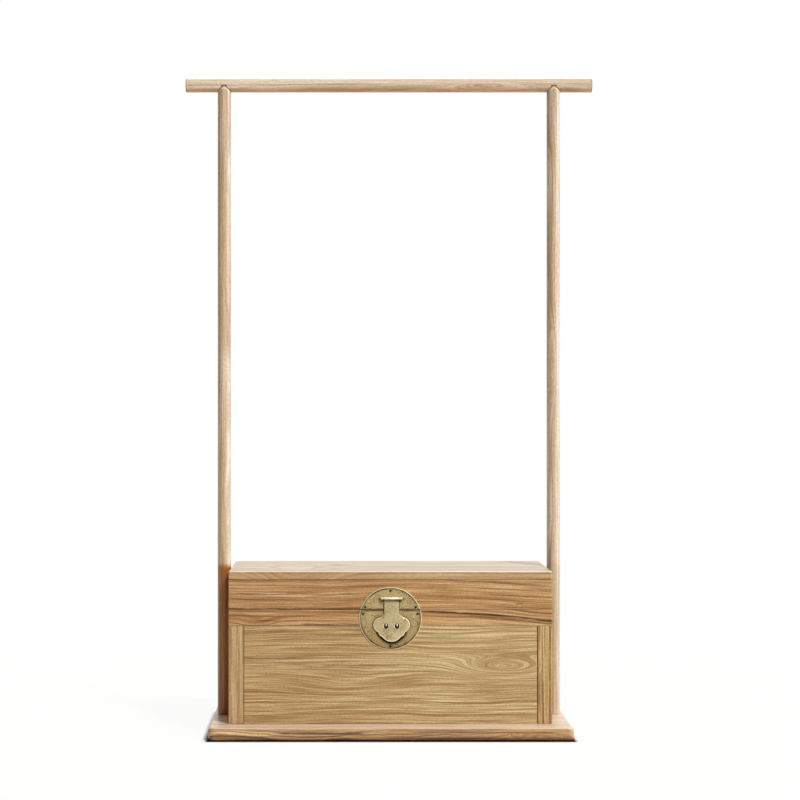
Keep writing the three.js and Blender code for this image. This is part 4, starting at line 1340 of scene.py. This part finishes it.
def half_plate(keep_above):
    """The half of the round plate above or below the split."""
    mesh = bmesh.new()
    turn = Matrix.Rotation(math.radians(90), 4, "X")
    place = Matrix.Translation((0, plate_back, plate_centre.z)) @ turn
    bmesh.ops.create_circle(mesh, cap_ends=True, radius=plate_radius, segments=128, matrix=place)
    cut_height = split_high if keep_above else split_low
    bmesh.ops.bisect_plane(
        mesh, geom=mesh.verts[:] + mesh.edges[:] + mesh.faces[:], dist=1e-7,
        plane_co=(0, 0, cut_height), plane_no=(0, 0, 1),
        clear_inner=keep_above, clear_outer=not keep_above,
    )
    grown = bmesh.ops.extrude_face_region(mesh, geom=mesh.faces[:])
    moved_by(mesh, grown, (0, plate_front - plate_back, 0))
    bmesh.ops.recalc_face_normals(mesh, faces=mesh.faces)
    front = [face for face in mesh.faces if face.normal.y < -0.9]
    bevel_edges(mesh, list({edge for face in front for edge in face.edges}), plate_bevel)
    front = [face for face in mesh.faces if face.normal.y < -0.999]
    for thickness, depth in (
        (groove_inset, 0), (groove_width, -groove_depth), (groove_width, groove_depth)
    ):
        bmesh.ops.inset_region(mesh, faces=front, thickness=thickness, depth=depth)
    shade_smooth(mesh, 20)
    return mesh


lower_plate = half_plate(False)
print("lower plate faces", len(lower_plate.faces))
finish_piece("round_plate_lower", lower_plate, "lock_plate_lower", plate_brass)

# %% [markdown]
# ## Knuckles on a pin
#
# Sheet brass is rolled round the pin: two short knuckles belong to the upper plate and the long
# one between them to the hasp. A knuckle is a short cylinder with rolled-in ends, and a strip
# of sheet, the web, leads the short ones back to their plate.

# %% Knuckles
knuckle_radius = 0.0047
knuckle_bevel = 0.0008
knuckle_gap = 0.0003
ear_length = 0.008
web_length = 0.0064
web_height = 0.004
web_end = plate_back - 0.0008
sharp_angle = math.radians(60)


def add_knuckle(mesh, start, stop):
    """A knuckle along the pin between two places, measured from the middle of the barrel."""
    place = Matrix.Translation(pin_place + Vector(((start + stop) / 2, 0, 0)))
    turn = Matrix.Rotation(math.radians(90), 4, "Y")
    made = bmesh.ops.create_cone(
        mesh, cap_ends=True, segments=40, radius1=knuckle_radius, radius2=knuckle_radius,
        depth=stop - start, matrix=place @ turn,
    )["verts"]
    around = {edge for vert in made for edge in vert.link_edges}
    ends = [edge for edge in around if edge.calc_face_angle(0) > sharp_angle]
    bevel_edges(mesh, ends, knuckle_bevel)


def add_web(mesh, middle):
    """The strip of sheet that leads a knuckle back to its plate."""
    depth = web_end - pin_place.y
    web = bmesh.ops.create_cube(mesh, size=1.0)["verts"]
    bmesh.ops.scale(mesh, verts=web, vec=(web_length, depth, web_height))
    place = pin_place + Vector((middle, depth / 2, 0))
    bmesh.ops.translate(mesh, verts=web, vec=place)


upper_plate = half_plate(True)
for sign in (-1, 1):
    outer = sign * barrel_length / 2
    inner = outer - sign * ear_length
    add_knuckle(upper_plate, min(outer, inner), max(outer, inner))
    add_web(upper_plate, (outer + inner) / 2)
shade_smooth(upper_plate, 30)
print("upper plate faces", len(upper_plate.faces))
finish_piece("round_plate_upper", upper_plate, "lock_plate_upper", plate_brass)

# %% [markdown]
# ## The hasp
#
# The hasp hangs from its knuckle as a straight strap that ends in the cloud-shaped head. Half of
# its outline is drawn point by point: `spin` carries the last point round the middle of each
# lobe.

# %% Hasp outline
def drawn(half_width, drop):
    return Vector((-half_width, 0, -drop))


def carry_round(mesh, last, arc, target, steps):
    """Carries the last point of an outline along an arc to target."""
    centre = drawn(*arc["centre"])
    first, second = last.co - centre, target - centre
    turn = math.atan2(first.z * second.x - first.x * second.z, first.dot(second))
    made = bmesh.ops.spin(
        mesh, geom=[last], cent=centre, axis=(0, 1, 0), angle=turn, steps=steps, dvec=(0, 0, 0),
        use_merge=False, use_duplicate=False,
    )["geom_last"]
    return next(item for item in made if isinstance(item, bmesh.types.BMVert))


def carry_straight(mesh, last, target):
    """Draws a straight stretch of an outline to target."""
    made = bmesh.ops.extrude_vert_indiv(mesh, verts=[last])["verts"][0]
    made.co = target
    return made


hasp = bmesh.new()
point = hasp.verts.new((0, 0, 0))
for corner in ((strap_half, 0), (strap_half, strap_end), waist):
    point = carry_straight(hasp, point, drawn(*corner))
point = carry_round(hasp, point, side_lobe, drawn(*hip), 16)
point = carry_round(hasp, point, low_lobe, drawn(*ankle), 8)
point = carry_round(hasp, point, bottom_lobe, drawn(0, hasp_drop), 10)
print("half outline of the hasp", len(hasp.verts), "points")
lowest = min(vert.co.z for vert in hasp.verts)
widest = min(vert.co.x for vert in hasp.verts)
print("head half width", round(-widest, 4), "drop", round(-lowest, 4))

# %% [markdown]
# The half is mirrored and two upright ovals are put in, the slots that the staples stand
# through. Then the field is filled, thickened and bevelled, and gets its knuckle.

# %% Hasp solid
eye_drop = 0.0706
eye_spacing = 0.0286
slot_radius = 0.005
slot_straight = 0.0025
hasp_bevel = 0.0010
outline_merge = 1e-6

bmesh.ops.mirror(hasp, geom=hasp.verts[:] + hasp.edges[:], axis="X", merge_dist=outline_merge)
bmesh.ops.remove_doubles(hasp, verts=hasp.verts, dist=outline_merge)
for sign in (-1, 1):
    place = Matrix.Translation((sign * eye_spacing / 2, 0, -eye_drop))
    turn = Matrix.Rotation(math.radians(90), 4, "X")
    oval = bmesh.ops.create_circle(hasp, radius=slot_radius, segments=28, matrix=place @ turn)
    for vert in oval["verts"]:
        above = vert.co.z > -eye_drop
        vert.co.z += slot_straight if above else -slot_straight
bmesh.ops.triangle_fill(hasp, use_beauty=True, use_dissolve=False, edges=hasp.edges)
grown = bmesh.ops.extrude_face_region(hasp, geom=hasp.faces[:])
moved_by(hasp, grown, (0, -hasp_thickness, 0))
bmesh.ops.translate(hasp, verts=hasp.verts, vec=(pin_place.x, hasp_back, pin_place.z))
bmesh.ops.recalc_face_normals(hasp, faces=hasp.faces)
hasp_middle = hasp_back - hasp_thickness / 2
rim = [
    edge for edge in hasp.edges
    if edge.calc_face_angle(0) > sharp_angle
    and all(vert.co.y < hasp_middle for vert in edge.verts)
]
bevel_edges(hasp, rim, hasp_bevel)
inner = barrel_length / 2 - ear_length - knuckle_gap
add_knuckle(hasp, -inner, inner)
shade_smooth(hasp, 34)
print("hasp faces", len(hasp.faces))
finish_piece("cloud_hasp", hasp, "hasp", hasp_brass)

# %% [markdown]
# ## Nails
#
# The plates are nailed on with small domed nails, long gone dark. A nail is turned in one go:
# half of its outline spins round its axis.

# %% Nails
shank_radius = 0.001
head_radius = 0.0023
dome_rise = 0.0014
nail_length = 0.014
point_length = 0.002


def domed_nail(centre, seat):
    """A nail driven towards the back, its head's underside at seat."""
    mesh = bmesh.new()
    outline = [
        (0, -dome_rise), (0.5 * head_radius, -0.9 * dome_rise),
        (0.85 * head_radius, -0.55 * dome_rise), (head_radius, 0),
        (shank_radius, 0), (shank_radius, nail_length - point_length), (0, nail_length),
    ]
    line = [mesh.verts.new((x, y, 0)) for x, y in outline]
    edges = [mesh.edges.new(pair) for pair in zip(line, line[1:])]
    bmesh.ops.spin(
        mesh, geom=line + edges, cent=(0, 0, 0), axis=(0, 1, 0), angle=math.tau, steps=20,
        dvec=(0, 0, 0), use_merge=True, use_duplicate=False,
    )
    bmesh.ops.remove_doubles(mesh, verts=mesh.verts, dist=outline_merge)
    bmesh.ops.recalc_face_normals(mesh, faces=mesh.faces)
    bmesh.ops.translate(mesh, verts=mesh.verts, vec=(centre.x, seat, centre.z))
    shade_smooth(mesh, 40)
    return mesh


for number, node in enumerate(nail_nodes, 1):
    mesh = domed_nail(middle_of(node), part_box(node)[0].y + dome_rise)
    finish_piece(f"domed_nail_{number}", mesh, node, nail_brass)
print("nails", len(nail_nodes))

# %% [markdown]
# ## Staples, hinges and bolts
#
# The two staples, the butt hinges at the back and the bolts under the base keep the
# construction's shape, and only lose their facets.

# %% Staples, hinges and bolts
metal_of_slot = {"hinge_brass": hinge_brass, "zinc_steel": zinc_steel}
metal_of_node = {
    node: metal_of_slot[slot_of_node[node]] for node in nodes
    if slot_of_node[node] in metal_of_slot
}
metal_of_node.update(lock_eye_left=eye_brass, lock_eye_right=eye_brass, hasp_pin=hasp_brass)
for node, metal in metal_of_node.items():
    finish_piece(f"smooth_{node}", smooth_copy(node), node, metal)
print("smooth metal pieces", len(metal_of_node))
